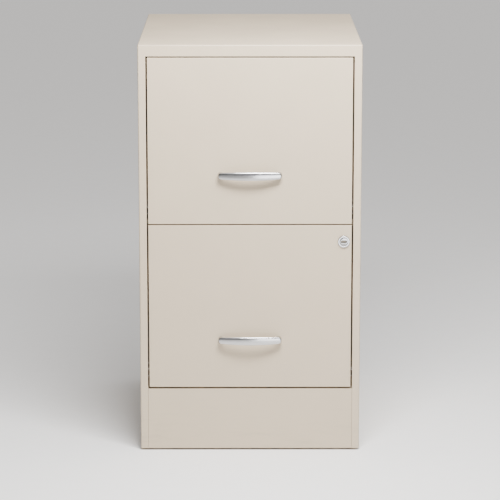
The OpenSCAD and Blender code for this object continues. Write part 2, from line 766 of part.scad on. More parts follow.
module cam_screw() {
    head_r = 4;
    head_t = 1.6;
    slot_w = 0.9;
    cam_y = plug_end + cam_t;
    color(zinc) {
        bar_y(key_end + fit, cam_y, lock_x, lock_z, lock_screw_r);
        difference() {
            bar_y(cam_y, cam_y + head_t, lock_x, lock_z, head_r);
            lock_slot(cam_y + head_t / 2, cam_y + head_t + cut, [2 * head_r + cut, slot_w]);
        }
    }
}

// ---- nodes -----------------------------------------------------------------------------------

module placed() {
    translate([0, front_y, 0]) children();
}

module case_wrap() { placed() wrap(); }
module back_panel() { placed() rear_panel(); }
module back_rivets() { placed() panel_rivets(); }
module kick_plate() { placed() kick(); }
module rear_base_rail() { placed() base_rail(); }
module mid_rail() { placed() cross_rail(); }
module corner_gussets() { placed() gussets(); }
module glide_front_left() { placed() glide(left, false); }
module glide_front_right() { placed() glide(right, false); }
module glide_rear_left() { placed() glide(left, true); }
module glide_rear_right() { placed() glide(right, true); }
module lower_left_case_rail() { placed() case_rail(left, lower_z); }
module lower_right_case_rail() { placed() case_rail(right, lower_z); }
module upper_left_case_rail() { placed() case_rail(left, upper_z); }
module upper_right_case_rail() { placed() case_rail(right, upper_z); }
module case_rail_rivets() { placed() case_rivets(); }
module case_roller_pins() { placed() case_pins(); }
module lower_left_front_roller() { placed() front_roller(left, lower_z); }
module lower_right_front_roller() { placed() front_roller(right, lower_z); }
module upper_left_front_roller() { placed() front_roller(left, upper_z); }
module upper_right_front_roller() { placed() front_roller(right, upper_z); }
module lower_front() { placed() drawer_front(lower_z, true); }
module lower_liner() { placed() drawer_liner(lower_z); }
module lower_left_side() { placed() drawer_side(left, lower_z); }
module lower_right_side() { placed() drawer_side(right, lower_z); }
module lower_bottom() { placed() drawer_bottom(lower_z); }
module lower_back() { placed() drawer_back(lower_z); }
module lower_handle() { placed() handle(lower_z); }
module lower_handle_screws() { placed() handle_screws(lower_z); }
module lower_left_drawer_rail() { placed() drawer_rail(left, lower_z); }
module lower_right_drawer_rail() { placed() drawer_rail(right, lower_z); }
module lower_rail_rivets() { placed() rail_rivets(lower_z); }
module lower_roller_pins() { placed() roller_pins(lower_z); }
module lower_left_rear_roller() { placed() rear_roller(left, lower_z); }
module lower_right_rear_roller() { placed() rear_roller(right, lower_z); }
module upper_front() { placed() drawer_front(upper_z, false); }
module upper_liner() { placed() drawer_liner(upper_z); }
module upper_left_side() { placed() drawer_side(left, upper_z); }
module upper_right_side() { placed() drawer_side(right, upper_z); }
module upper_bottom() { placed() drawer_bottom(upper_z); }
module upper_back() { placed() drawer_back(upper_z); }
module upper_handle() { placed() handle(upper_z); }
module upper_handle_screws() { placed() handle_screws(upper_z); }
module upper_left_drawer_rail() { placed() drawer_rail(left, upper_z); }
module upper_right_drawer_rail() { placed() drawer_rail(right, upper_z); }
module upper_rail_rivets() { placed() rail_rivets(upper_z); }
module upper_roller_pins() { placed() roller_pins(upper_z); }
module upper_left_rear_roller() { placed() rear_roller(left, upper_z); }
module upper_right_rear_roller() { placed() rear_roller(right, upper_z); }
module lock_barrel() { placed() barrel(); }
module lock_clip() { placed() clip(); }
module lock_plug() { placed() plug(); }
module lock_wafers() { placed() wafers(); }
module lock_cam() { placed() cam(); }
module lock_cam_screw() { placed() cam_screw(); }

case_wrap();
back_panel();
back_rivets();
kick_plate();
rear_base_rail();
mid_rail();
corner_gussets();
glide_front_left();
glide_front_right();
glide_rear_left();
glide_rear_right();
lower_left_case_rail();
lower_right_case_rail();
upper_left_case_rail();
upper_right_case_rail();
case_rail_rivets();
case_roller_pins();
lower_left_front_roller();
lower_right_front_roller();
upper_left_front_roller();
upper_right_front_roller();
lower_front();
lower_liner();
lower_left_side();
lower_right_side();
lower_bottom();
lower_back();
lower_handle();
lower_handle_screws();
lower_left_drawer_rail();
lower_right_drawer_rail();
lower_rail_rivets();
lower_roller_pins();
lower_left_rear_roller();
lower_right_rear_roller();
upper_front();
upper_liner();
upper_left_side();
upper_right_side();
upper_bottom();
upper_back();
upper_handle();
upper_handle_screws();
upper_left_drawer_rail();
upper_right_drawer_rail();
upper_rail_rivets();
upper_roller_pins();
upper_left_rear_roller();
upper_right_rear_roller();
lock_barrel();
lock_clip();
lock_plug();
lock_wafers();
lock_cam();
lock_cam_screw();
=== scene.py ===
"""Letter-size steel filing cabinet with two drawers, bow handles and a cam lock."""

import math

import bmesh
import bpy
import numpy as np
from bpy.props import FloatProperty, FloatVectorProperty, PointerProperty
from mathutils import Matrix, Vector


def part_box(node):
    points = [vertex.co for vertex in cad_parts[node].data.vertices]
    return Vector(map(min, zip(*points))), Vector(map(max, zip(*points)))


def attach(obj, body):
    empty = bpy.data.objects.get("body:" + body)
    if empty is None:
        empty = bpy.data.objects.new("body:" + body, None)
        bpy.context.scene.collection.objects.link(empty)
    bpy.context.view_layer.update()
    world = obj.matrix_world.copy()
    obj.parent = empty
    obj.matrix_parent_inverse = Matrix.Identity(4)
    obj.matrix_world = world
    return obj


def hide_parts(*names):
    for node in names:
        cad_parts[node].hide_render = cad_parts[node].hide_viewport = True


bl_info = {
    "name": "Steel Filing Cabinet",
    "version": (1, 0, 0),
    "blender": (4, 5, 0),
    "location": "3D View > Sidebar > Filing Cabinet",
    "description": "Builds the sheet metal, handles, lock, slides and finishes of a steel filing cabinet",
    "category": "Add Mesh",
}

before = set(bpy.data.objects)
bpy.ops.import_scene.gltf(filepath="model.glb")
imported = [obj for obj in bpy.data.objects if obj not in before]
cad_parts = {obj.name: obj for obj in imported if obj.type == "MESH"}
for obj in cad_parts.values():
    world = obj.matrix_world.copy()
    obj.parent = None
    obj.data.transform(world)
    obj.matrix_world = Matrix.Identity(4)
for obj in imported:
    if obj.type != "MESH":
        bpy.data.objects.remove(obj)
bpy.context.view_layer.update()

MM = 0.001
LEVELS = ("lower", "upper")
SIDES = ("left", "right")


# ---- sizes that come from the frame ------------------------------------------------------------

def corners(node):
    """Lowest and highest corner of a CAD node, as arrays."""
    low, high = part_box(node)
    return np.array(low), np.array(high)


CASE_LOW, CASE_HIGH = corners("case_wrap")
FRONT_Y = CASE_LOW[1]
SHEET = corners("lower_liner")[1][1] - corners("lower_liner")[0][1]
KICK_LOW, KICK_HIGH = corners("kick_plate")
KICK_JOINT = 0.15 * MM
TOP_GAP = 2 * MM
STILE = CASE_HIGH[0] - KICK_HIGH[0] - KICK_JOINT
TOP_RAIL = CASE_HIGH[2] - corners("upper_front")[1][2] - TOP_GAP


# ---- outlines ----------------------------------------------------------------------------------

def folded(path, radius, steps=7, rest=0.5 * MM):
    """Points and left-hand normals along straight runs joined by arcs, of one radius or one for each corner.
    Each arc is its centre plus the radius turned through the corner's angle in equal steps, and a point a
    little way into each run keeps the flat sheet flat in its shading."""
    path = np.asarray(path, float)
    way = np.diff(path, axis=0)
    long = np.linalg.norm(way, axis=1)
    way = way / long[:, None]
    left = np.stack([-way[:, 1], way[:, 0]], axis=1)
    turn = np.arctan2(way[:-1, 0] * way[1:, 1] - way[:-1, 1] * way[1:, 0], (way[:-1] * way[1:]).sum(1))
    radius = np.broadcast_to(radius, turn.shape)
    cut = radius * np.tan(np.abs(turn) / 2)
    points, normals = [path[:1]], [left[:1]]
    for i, angle in enumerate(turn):
        start = path[i + 1] - way[i] * cut[i]
        centre = start + left[i] * radius[i] * np.sign(angle)
        t = angle * np.linspace(0, 1, steps + 1)
        c, s = np.cos(t)[:, None], np.sin(t)[:, None]
        arm = start - centre
        points += [start[None] - way[i] * rest, centre + c * arm + s * np.array([-arm[1], arm[0]]),
                   path[i + 1][None] + way[i + 1] * (cut[i] + rest)]
        normals += [left[i][None], c * left[i] + s * np.array([-left[i][1], left[i][0]]), left[i + 1][None]]
    points.append(path[-1:])
    normals.append(left[-1:])
    return np.concatenate(points), np.concatenate(normals)


def skins(path, radius, thickness, steps=7):
    """The two faces of a folded sheet: its middle line moved half its thickness each way."""
    points, normals = folded(path, radius, steps)
    return points + normals * thickness / 2, points - normals * thickness / 2


def spaced(*runs):
    """Values through several runs, each (start, end, count), with shared ends once."""
    parts = [np.linspace(a, b, n + 1)[:-1] for a, b, n in runs]
    return np.concatenate(parts + [[runs[-1][1]]])


def near_ends(low, high, rest=0.5 * MM, middle=1):
    """Values from low to high with an extra one close to each end."""
    return np.concatenate([[low], np.linspace(low + rest, high - rest, middle + 1), [high]])


# ---- meshes ------------------------------------------------------------------------------------

def quads(rows, columns, wrap=False, first=0):
    """Corner numbers of a grid's quads, as an array of rows, columns and 4."""
    index = first + np.arange(rows * columns).reshape(rows, columns)
    across = np.concatenate([index, index[:, :1]], axis=1) if wrap else index
    return np.stack([across[:-1, :-1], across[:-1, 1:], across[1:, 1:], across[1:, :-1]], axis=-1)


def piece(name, parts, body, finish, stands_for=(), sharp=32.0):
    """Makes one object out of (points, faces, fold mask) parts, closes its seams, turns its faces
    outwards and lets it ride on its body."""
    points, faces, masks, first = [], [], [], 0
    for p, f, m in parts:
        points.append(p.reshape(-1, 3))
        masks.append(np.broadcast_to(m, p.shape[:-1]).reshape(-1))
        faces += [f.reshape(-1, 4) + first]
        first += len(points[-1])
    mesh = bpy.data.meshes.new(name)
    mesh.from_pydata(np.concatenate(points).tolist(), [], np.concatenate(faces).tolist())
    fold = mesh.attributes.new("fold", "FLOAT", "POINT")
    fold.data.foreach_set("value", np.concatenate(masks).astype(np.float32))
    shape = bmesh.new()
    shape.from_mesh(mesh)
    bmesh.ops.remove_doubles(shape, verts=shape.verts, dist=1e-6)
    bmesh.ops.dissolve_degenerate(shape, edges=shape.edges, dist=1e-7)
    bmesh.ops.recalc_face_normals(shape, faces=shape.faces)
    shape.to_mesh(mesh)
    shape.free()
    mesh.shade_smooth()
    mesh.set_sharp_from_angle(angle=math.radians(sharp))
    mesh.materials.append(finish)
    thing = bpy.data.objects.new(name, mesh)
    bpy.context.scene.collection.objects.link(thing)
    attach(thing, body)
    if stands_for:
        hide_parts(*stands_for)
    return thing


def shell(outer, inner, keep=None, wrap=False, mask=0.0, closed_start=False):
    """A sheet between two grids of points. Quads that keep drops are holes, and every edge between a kept
    and a dropped quad, or at the sheet's border, gets a wall from the outer grid to the inner one. A closed
    start is a first row that has shrunk to a point or a line and needs no wall."""
    rows, columns = outer.shape[:2]
    face = quads(rows, columns, wrap)
    keep = np.ones(face.shape[:2], bool) if keep is None else keep
    count = rows * columns
    walls = []
    index = np.arange(count).reshape(rows, columns)
    across = np.concatenate([index, index[:, :1]], axis=1) if wrap else index
    above = np.vstack([keep, np.zeros((1, keep.shape[1]), bool)])
    below = np.vstack([keep[:1] if closed_start else np.zeros((1, keep.shape[1]), bool), keep])
    v, u = np.nonzero(above != below)
    near, far = across[v, u], across[v, u + 1]
    walls.append(np.stack([near, far, far + count, near + count], axis=-1))
    edge = keep[:, -1:] if wrap else np.zeros((keep.shape[0], 1), bool)
    end = keep[:, :1] if wrap else np.zeros((keep.shape[0], 1), bool)
    right, left = np.hstack([keep, end]), np.hstack([edge, keep])
    v, u = np.nonzero(right != left)
    if wrap:
        inside = u < keep.shape[1]
        v, u = v[inside], u[inside]
    near, far = across[v, u], across[v + 1, u]
    walls.append(np.stack([near, far, far + count, near + count], axis=-1))
    kept = face[keep]
    faces = np.concatenate([kept, kept[:, ::-1] + count] + walls)
    points = np.concatenate([outer.reshape(-1, 3), inner.reshape(-1, 3)])
    return points, faces, np.tile(np.broadcast_to(mask, outer.shape[:2]).reshape(-1), 2)


def solid(grid, wrap_rows=False, wrap_columns=True, mask=0.0):
    """A closed surface from one grid whose rows run round and whose first and last rows are poles, or
    which closes on itself both ways."""
    rows, columns = grid.shape[:2]
    face = quads(rows, columns, wrap_columns)
    if wrap_rows:
        index = np.arange(rows * columns).reshape(rows, columns)
        last = np.stack([index[-1], np.roll(index[-1], -1), np.roll(index[0], -1), index[0]], axis=-1)
        face = np.concatenate([face.reshape(-1, 4), last])
    return grid.reshape(-1, 3), face.reshape(-1, 4), np.broadcast_to(mask, (rows, columns)).reshape(-1)


def capped(grid):
    """Adds a pole at the middle of a grid's first and last rows."""
    ends = [np.broadcast_to(grid[i].mean(0), grid[i].shape)[None] for i in (0, -1)]
    return np.concatenate([ends[0], grid, ends[1]])


def round_outline(low, high, radius, steps=6):
    """Points round rectangles whose corners are arcs: each corner's centre plus its radius turned
    through a quarter. low, high and radius may be arrays with one entry for each rectangle."""
    low, high, radius = np.atleast_2d(low), np.atleast_2d(high), np.atleast_1d(radius)[:, None]
    a = np.linspace(0, math.pi / 2, steps + 1)[None]
    x0, x1 = low[:, :1] + radius, high[:, :1] - radius
    z0, z1 = low[:, 1:] + radius, high[:, 1:] - radius
    c, s = radius * np.cos(a), radius * np.sin(a)
    x = np.concatenate([x1 + c, x0 - s, x0 - c, x1 + s], axis=1)
    z = np.concatenate([z1 + s, z1 + c, z0 - s, z0 - c], axis=1)
    return x, z


def turned(profile, centre, axis, steps=48):
    """Surface of revolution: a profile of (distance along the axis, radius) carried round it."""
    profile = np.asarray(profile, float)
    a = np.linspace(0, 2 * math.pi, steps, endpoint=False)
    along = np.broadcast_to(profile[:, :1], (len(profile), steps))
    u, v = profile[:, 1:] * np.cos(a), profile[:, 1:] * np.sin(a)
    order = {"x": (along, u, v), "y": (u, along, v), "z": (u, v, along)}[axis]
    return np.stack(order, axis=-1) + np.asarray(centre)


def rounded_profile(path, radius, steps=4):
    """The same folded path, used as the outline of a turned piece."""
    return folded(path, radius, steps, rest=0.05 * MM)[0]


# ---- finishes ----------------------------------------------------------------------------------

def group(name, inputs, outputs):
    """An empty node group with named sockets, and a short way to add and join its nodes."""
    tree = bpy.data.node_groups.new(name, "ShaderNodeTree")
    for label, kind, value in inputs:
        socket = tree.interface.new_socket(name=label, in_out="INPUT", socket_type="NodeSocket" + kind)
        if value is not None:
            socket.default_value = value
    for label, kind in outputs:
        tree.interface.new_socket(name=label, in_out="OUTPUT", socket_type="NodeSocket" + kind)
    return Wiring(tree, tree.nodes.new("NodeGroupInput"), tree.nodes.new("NodeGroupOutput"))


class Wiring:
    """Adds nodes to a tree. A value is linked when it is a socket and stored when it is a number."""

    def __init__(self, tree, source=None, result=None):
        self.tree, self.source, self.result = tree, source, result

    def put(self, socket, value):
        if isinstance(value, bpy.types.NodeSocket):
            self.tree.links.new(value, socket)
        elif value is not None:
            socket.default_value = value

    def node(self, kind, settings=None, **values):
        made = self.tree.nodes.new("ShaderNode" + kind)
        for key, value in (settings or {}).items():
            setattr(made, key, value)
        for key, value in values.items():
            self.put(made.inputs[key.replace("_", " ")], value)
        return made

    def math(self, operation, a, b=None, c=None, clamp=False):
        made = self.node("Math", {"operation": operation, "use_clamp": clamp})
        for socket, value in zip(made.inputs, (a, b, c)):
            self.put(socket, value)
        return made.outputs[0]

    def mix(self, share, a, b):
        made = self.node("Mix", {"data_type": "RGBA"})
        self.put(made.inputs[0], share)
        self.put(made.inputs[6], a)
        self.put(made.inputs[7], b)
        return made.outputs[2]

    def fade(self, value, low, high, out_low=0.0, out_high=1.0):
        made = self.node("MapRange", {"interpolation_type": "SMOOTHSTEP"})
        for socket, v in zip(made.inputs, (value, low, high, out_low, out_high)):
            self.put(socket, v)
        return made.outputs[0]

    def noise(self, place, scale, detail=2.0, roughness=0.5):
        made = self.node("TexNoise", Vector=place, Scale=scale, Detail=detail, Roughness=roughness)
        return made.outputs["Fac"]

    def stretched(self, place, size):
        return self.node("Mapping", {"vector_type": "POINT"}, Vector=place, Scale=size).outputs[0]


def powder_coat():
    """Baked powder: fine orange peel over a sheet that is never quite flat, with cloudy colour.
    Height is in metres."""
    w = group("powder_coat",
              [("Place", "Vector", None), ("Colour", "Color", None), ("Peel", "Float", 0.012),
               ("Waviness", "Float", 0.12), ("Cloudiness", "Float", 0.5), ("Gloss", "Float", 0.4)],
              [("Colour", "Color"), ("Roughness", "Float"), ("Height", "Float")])
    i = w.source.outputs
    peel = w.noise(i["Place"], 420.0, 3.0, 0.55)
    grit = w.noise(i["Place"], 1500.0, 1.0)
    wave = w.noise(w.stretched(i["Place"], (1.0, 1.0, 0.8)), 5.5, 1.0, 0.4)
    cloud = w.noise(i["Place"], 17.0, 4.0, 0.6)
    shade = w.math("MULTIPLY", w.math("SUBTRACT", cloud, 0.5), i["Cloudiness"])
    fleck = w.math("MULTIPLY", w.math("SUBTRACT", grit, 0.5), 0.10)
    level = w.math("ADD", 1.0, w.math("ADD", w.math("MULTIPLY", shade, 0.16), fleck))
    colour = w.node("VectorMath", {"operation": "SCALE"}, Vector=i["Colour"], Scale=level).outputs[0]
    w.put(w.result.inputs["Colour"], colour)
    rough = w.math("ADD", i["Gloss"], w.math("MULTIPLY", w.math("SUBTRACT", cloud, 0.5), 0.18))
    w.put(w.result.inputs["Roughness"], w.math("ADD", rough, w.math("MULTIPLY", fleck, 0.5), clamp=True))
    height = w.math("ADD", w.math("MULTIPLY", peel, w.math("MULTIPLY", i["Peel"], MM)),
                    w.math("MULTIPLY", wave, w.math("MULTIPLY", i["Waviness"], MM)))
    w.put(w.result.inputs["Height"], height)
    return w.tree


def edge_wear():
    """Paint rubbed thin along folded edges: the fold mask broken up by noise."""
    w = group("edge_wear", [("Place", "Vector", None), ("Amount", "Float", 0.5), ("Patch", "Float", 40.0)],
              [("Worn", "Float")])
    i = w.source.outputs
    fold = w.node("Attribute", {"attribute_name": "fold", "attribute_type": "GEOMETRY"}).outputs["Fac"]
    patch = w.noise(i["Place"], i["Patch"], 5.0, 0.65)
    edge = w.math("SUBTRACT", w.math("MULTIPLY", fold, w.math("ADD", 0.55, i["Amount"])), patch)
    w.put(w.result.inputs["Worn"], w.fade(edge, 0.0, 0.22))
    return w.tree


def scuffs():
    """Shoe marks and dust near the floor: level smears, thick at the bottom and gone at the given height."""
    w = group("scuffs", [("Place", "Vector", None), ("Top", "Float", 0.11), ("Amount", "Float", 0.5)],
              [("Marked", "Float")])
    i = w.source.outputs
    z = w.node("SeparateXYZ", Vector=i["Place"]).outputs["Z"]
    low = w.fade(z, i["Top"], 0.0)
    smear = w.noise(w.stretched(i["Place"], (9.0, 9.0, 60.0)), 1.0, 6.0, 0.7)
    streak = w.fade(smear, 0.50, 0.74)
    w.put(w.result.inputs["Marked"], w.math("MULTIPLY", w.math("MULTIPLY", streak, low), i["Amount"]))
    return w.tree


def brushed():
    """Fine straight lines from rolling or brushing, drawn out along the axis with the smallest stretch.
    Height is in metres."""
    w = group("brushed",
              [("Place", "Vector", None), ("Stretch", "Vector", (30.0, 1200.0, 1200.0)),
               ("Roughness", "Float", 0.3), ("Spread", "Float", 0.2), ("Depth", "Float", 0.004)],
              [("Roughness", "Float"), ("Height", "Float"), ("Streak", "Float")])
    i = w.source.outputs
    spot = w.node("VectorMath", {"operation": "MULTIPLY"})
    w.put(spot.inputs[0], i["Place"])
    w.put(spot.inputs[1], i["Stretch"])
    streak = w.noise(spot.outputs[0], 1.0, 3.0, 0.6)
    cloud = w.noise(i["Place"], 60.0, 3.0, 0.6)
    w.put(w.result.inputs["Streak"], streak)
    cloudy = w.math("MULTIPLY", w.math("SUBTRACT", cloud, 0.5), 0.7)
    both = w.math("ADD", w.math("SUBTRACT", streak, 0.5), cloudy)
    w.put(w.result.inputs["Roughness"], w.math("MULTIPLY_ADD", both, i["Spread"], i["Roughness"], clamp=True))
    w.put(w.result.inputs["Height"], w.math("MULTIPLY", streak, w.math("MULTIPLY", i["Depth"], MM)))
    return w.tree


def use(w, tree, **values):
    """Places a node group in a material."""
    made = w.tree.nodes.new("ShaderNodeGroup")
    made.node_tree = tree
    for key, value in values.items():
        w.put(made.inputs[key], value)
    return made.outputs


def material(name, **constants):
    """A new material's wiring, its shader and its object coordinates."""
    made = bpy.data.materials.new(name)
    made.use_nodes = True
    w = Wiring(made.node_tree)
    shader = made.node_tree.nodes["Principled BSDF"]
    for key, value in constants.items():
        shader.inputs[key.replace("_", " ")].default_value = value
    place = w.node("TexCoord").outputs["Object"]
    return made, w, shader, place


def bump(w, shader, height):
    """Feeds a height in metres to a shader's normal."""
    w.put(shader.inputs["Normal"], w.node("Bump", Strength=1.0, Distance=1.0, Height=height).outputs[0])


def darker(colour, share_left):
    """A colour with this share of its brightness left, opaque."""
    return tuple(share_left * c for c in colour) + (1.0,)


def paint(name, groups, colour, gloss, marks, wear):
    """Powder coat, rubbed along folded edges and scuffed near the floor."""
    made, w, shader, place = material(name, Coat_Roughness=0.3, Specular_IOR_Level=0.5)
    coat = use(w, groups["powder_coat"], Place=place, Colour=(*colour, 1.0), Gloss=gloss)
    worn = use(w, groups["edge_wear"], Place=place, Amount=wear)["Worn"]
    marked = use(w, groups["scuffs"], Place=place, Amount=marks)["Marked"]
    rubbed = w.mix(w.math("MULTIPLY", worn, 0.6), coat["Colour"], darker(colour, 0.72))
    w.put(shader.inputs["Base Color"], w.mix(w.math("MULTIPLY", marked, 0.5), rubbed, darker(colour, 0.30)))
    w.put(shader.inputs["Roughness"], w.math("MULTIPLY_ADD", marked, 0.25, coat["Roughness"], clamp=True))
    bump(w, shader, coat["Height"])
    return made


def plated(name, groups, colour, stretch, roughness, spread, depth, dark=0.25):
    """Plated or brass sheet, duller and darker in its streaks. Where the fold mask is 1 it is painted shade:
    black and not metallic.
    """
    made, w, shader, place = material(name)
    lines = use(w, groups["brushed"], Place=place, Stretch=stretch, Roughness=roughness, Spread=spread,
                Depth=depth)
    cells = w.node("TexVoronoi", {"feature": "F1"}, Vector=place, Scale=230.0).outputs["Color"]
    cell = w.node("SeparateColor", Color=cells).outputs[0]
    mottle = w.math("ADD", w.math("MULTIPLY", lines["Streak"], 0.8), w.math("MULTIPLY", cell, 0.25))
    plate_colour = w.mix(w.math("MULTIPLY", mottle, dark), (*colour, 1.0), darker(colour, 0.55))
    # painted shade: where the fold mask is 1 the plate turns black and not metallic, standing for the shade
    # in the lock's keyway and round the plug's edge
    painted_shade = w.node("Attribute", {"attribute_name": "fold", "attribute_type": "GEOMETRY"}).outputs["Fac"]
    w.put(shader.inputs["Base Color"], w.mix(painted_shade, plate_colour, (0.008, 0.008, 0.008, 1.0)))
    w.put(shader.inputs["Metallic"], w.math("SUBTRACT", 1.0, painted_shade, clamp=True))
    w.put(shader.inputs["Roughness"], lines["Roughness"])
    bump(w, shader, lines["Height"])
    return made


def moulded(name, colour, roughness, speckle):
    """Moulded nylon: a faint eroded grain, with cloudy colour and small scratches."""
    made, w, shader, place = material(name, Specular_IOR_Level=0.45)
    cloud = w.noise(place, 90.0, 4.0, 0.6)
    grain = w.noise(place, 2600.0, 2.0)
    scratch = w.fade(w.noise(w.stretched(place, (2200.0, 160.0, 160.0)), 1.0, 2.0), 0.62, 0.70)
    tone = w.math("MULTIPLY", cloud, speckle)
    w.put(shader.inputs["Base Color"], w.mix(tone, (*colour, 1.0), darker(colour, 0.6)))
    rough = w.math("MULTIPLY_ADD", cloud, 0.2, roughness - 0.1)
    w.put(shader.inputs["Roughness"], w.math("ADD", rough, w.math("MULTIPLY", scratch, 0.15), clamp=True))
    relief = w.math("SUBTRACT", grain, w.math("MULTIPLY", scratch, 0.5))
    bump(w, shader, w.math("MULTIPLY", relief, 0.012 * MM))
    return made


# ---- case --------------------------------------------------------------------------------------

def fold_mask(normals):
    """1 at the middle of a fold and 0 on the flats: the smaller part of the normal, times root two."""
    return np.sqrt(2) * np.abs(normals).min(axis=1)


def arch(inset_side, inset_top, y, bottom, bend):
    """Rows of points up the left leg, over the top and down the right leg, one column for each inset.
    A column keeps its inset from the case's outside, and its corner is an arc of the case's outer
    radius less the inset."""
    a, b = inset_side, inset_top
    radius = np.clip(bend - np.minimum(a, b), 0.25 * MM, None)
    x, top = CASE_HIGH[0] - a, CASE_HIGH[2] - b
    turn = np.linspace(0, math.pi / 2, 7)[:, None]
    leg = spaced((bottom, top.min() - bend - MM, 3))[:, None]
    right = [np.broadcast_to(x, (len(leg), len(x))), x - radius + radius * np.cos(turn)]
    up = [np.broadcast_to(leg, (len(leg), len(x))), top - radius + radius * np.sin(turn)]
    right, up = np.concatenate(right), np.concatenate(up)
    xs = np.concatenate([-right, right[::-1]])
    zs = np.concatenate([up, up[::-1]])
    return np.stack([xs, np.broadcast_to(y, xs.shape), zs], axis=-1)


def case_sides():
    """The arch-shaped shell: from the lip behind the opening, round the stile and the side to the flange
    that holds the back panel, with a plate along each side's lower edge."""
    h = SHEET / 2
    rear = CASE_HIGH[1]
    lip, side_flange, top_flange, corner = 10 * MM, 14.8 * MM, 14 * MM, 2 * MM
    bends = np.array([0.3, 1.6, 1.6]) * MM
    grids = []
    for sign in (1, -1):
        columns = []
        for face, flange in ((STILE, side_flange), (TOP_RAIL, top_flange)):
            path = [(face - h, FRONT_Y + lip), (face - h, FRONT_Y + h), (h, FRONT_Y + h),
                    (h, rear - h), (flange, rear - h)]
            line, normal = folded(path, bends)
            columns.append(line + sign * normal * h)
        grids.append(arch(columns[0][:, 0], columns[1][:, 0], columns[0][:, 1], CASE_LOW[2], corner))
    inner, outer = sorted(grids, key=lambda g: g[..., 2].max())
    parts = [shell(outer, inner, mask=fold_mask(normal))]
    x0, x1 = CASE_HIGH[0] - STILE + SHEET, CASE_HIGH[0] - SHEET
    ys = (FRONT_Y + SHEET, rear - SHEET)
    for side in (-1, 1):
        parts.append(plate((side * x0, side * x1), ys, CASE_LOW[2], CASE_LOW[2] + SHEET))
    return parts


def plate(xs, ys, z0, z1):
    """A flat rectangular sheet between two heights."""
    x, y = np.meshgrid(np.sort(xs), ys, indexing="ij")
    return shell(np.stack([x, y, np.full(x.shape, z1)], -1), np.stack([x, y, np.full(x.shape, z0)], -1))


def pan_rings(low, high, depth, lip, bend, y0, slot=None):
    """Outer and inner grids of a pressed pan. Each row is a rounded rectangle at one inset from the pan's
    outline: the face from its middle outwards, then the folded edge, the return and the lip behind it."""
    h = SHEET / 2
    middle = min(high - low) / 2
    path = [(middle, y0 + h), (h, y0 + h), (h, y0 + depth - h), (lip, y0 + depth - h)]
    line, normal = folded(path if lip else path[:3], bend - h)
    if slot is not None:
        extra = np.array([[h, v] for v in slot[0]])
        at = np.searchsorted(line[:, 1], extra[:, 1])
        line, normal = np.insert(line, at, extra, axis=0), np.insert(normal, at, normal[at - 1], axis=0)
    grids = []
    for sign in (1, -1):
        inset, y = (line + sign * normal * h).T
        corner = np.clip(bend - inset, 0.2 * MM, middle - inset)
        x, z = round_outline(low + inset[:, None], high - inset[:, None], corner)
        if slot is not None:
            lowest, highest = z[:, -1:], z[:, :1]
            x = np.concatenate([x, x[:, -1:], x[:, :1]], axis=1)
            z = np.concatenate([z] + [np.clip(v, lowest, highest) for v in slot[1]], axis=1)
        grids.append(np.stack([x, np.broadcast_to(y[:, None], x.shape), z], axis=-1))
    return grids, np.broadcast_to(fold_mask(normal)[:, None], grids[0].shape[:2])


def pan(low, high, depth, lip, bend, y0, slot=None):
    """A sheet folded to a shallow pan, with an opening cut through its right-hand return where slot gives
    its range of depth and of height."""
    (first, second), mask = pan_rings(low, high, depth, lip, bend, y0, slot)
    outer, inner = sorted((first, second), key=lambda g: -g[..., 0].max())
    keep = np.ones((outer.shape[0] - 1, outer.shape[1]), bool)
    if slot is not None:
        y = (outer[1:, 0, 1] + outer[:-1, 0, 1]) / 2
        rows = (y > slot[0][0]) & (y < slot[0][1]) & (outer[1:, 0, 0] > high[0] - SHEET)
        keep[rows, -2] = False
    return shell(outer, inner, keep, wrap=True, mask=mask, closed_start=True)


def kick_pan():
    """The plate under the drawers: a pan whose upper return carries on as a shelf with a turned-down edge."""
    low, high = corners("kick_plate")
    depth, bend, shelf_bend, turned_down = 10 * MM, 0.55 * MM, 1.6 * MM, 12 * MM
    face = pan(low[[0, 2]], high[[0, 2]], depth, 0, bend, low[1])
    top, rear = high[2] - SHEET / 2, high[1] - SHEET / 2
    shelf = [(low[1] + depth, top), (rear, top), (rear, high[2] - turned_down)]
    outer, inner = skins(shelf, shelf_bend, SHEET)
    return [face, strip(outer, inner, low[0], high[0])]


def strip(outer, inner, x0, x1):
    """A folded sheet carried along X from x0 to x1."""
    xs = near_ends(x0, x1)[:, None]

    def laid(line):
        shape = (len(xs), len(line))
        return np.stack([np.broadcast_to(v, shape) for v in (xs, line[:, 0], line[:, 1])], axis=-1)

    return shell(laid(outer), laid(inner))


def smooth(t):
    """Eases from 0 to 1: 3t squared less 2t cubed."""
    t = np.clip(t, 0, 1)
    return t * t * (3 - 2 * t)


def inside(x, z, half, high, low, radius):
    """Depth inside a rounded rectangle about x = 0, negative outside, measured to its
    nearest side or corner arc."""
    across = np.abs(x) - (half - radius)
    up = np.abs(z - (high + low) / 2) - ((high - low) / 2 - radius)
    out = np.hypot(np.maximum(across, 0), np.maximum(up, 0)) + np.minimum(np.maximum(across, up), 0)
    return radius - out


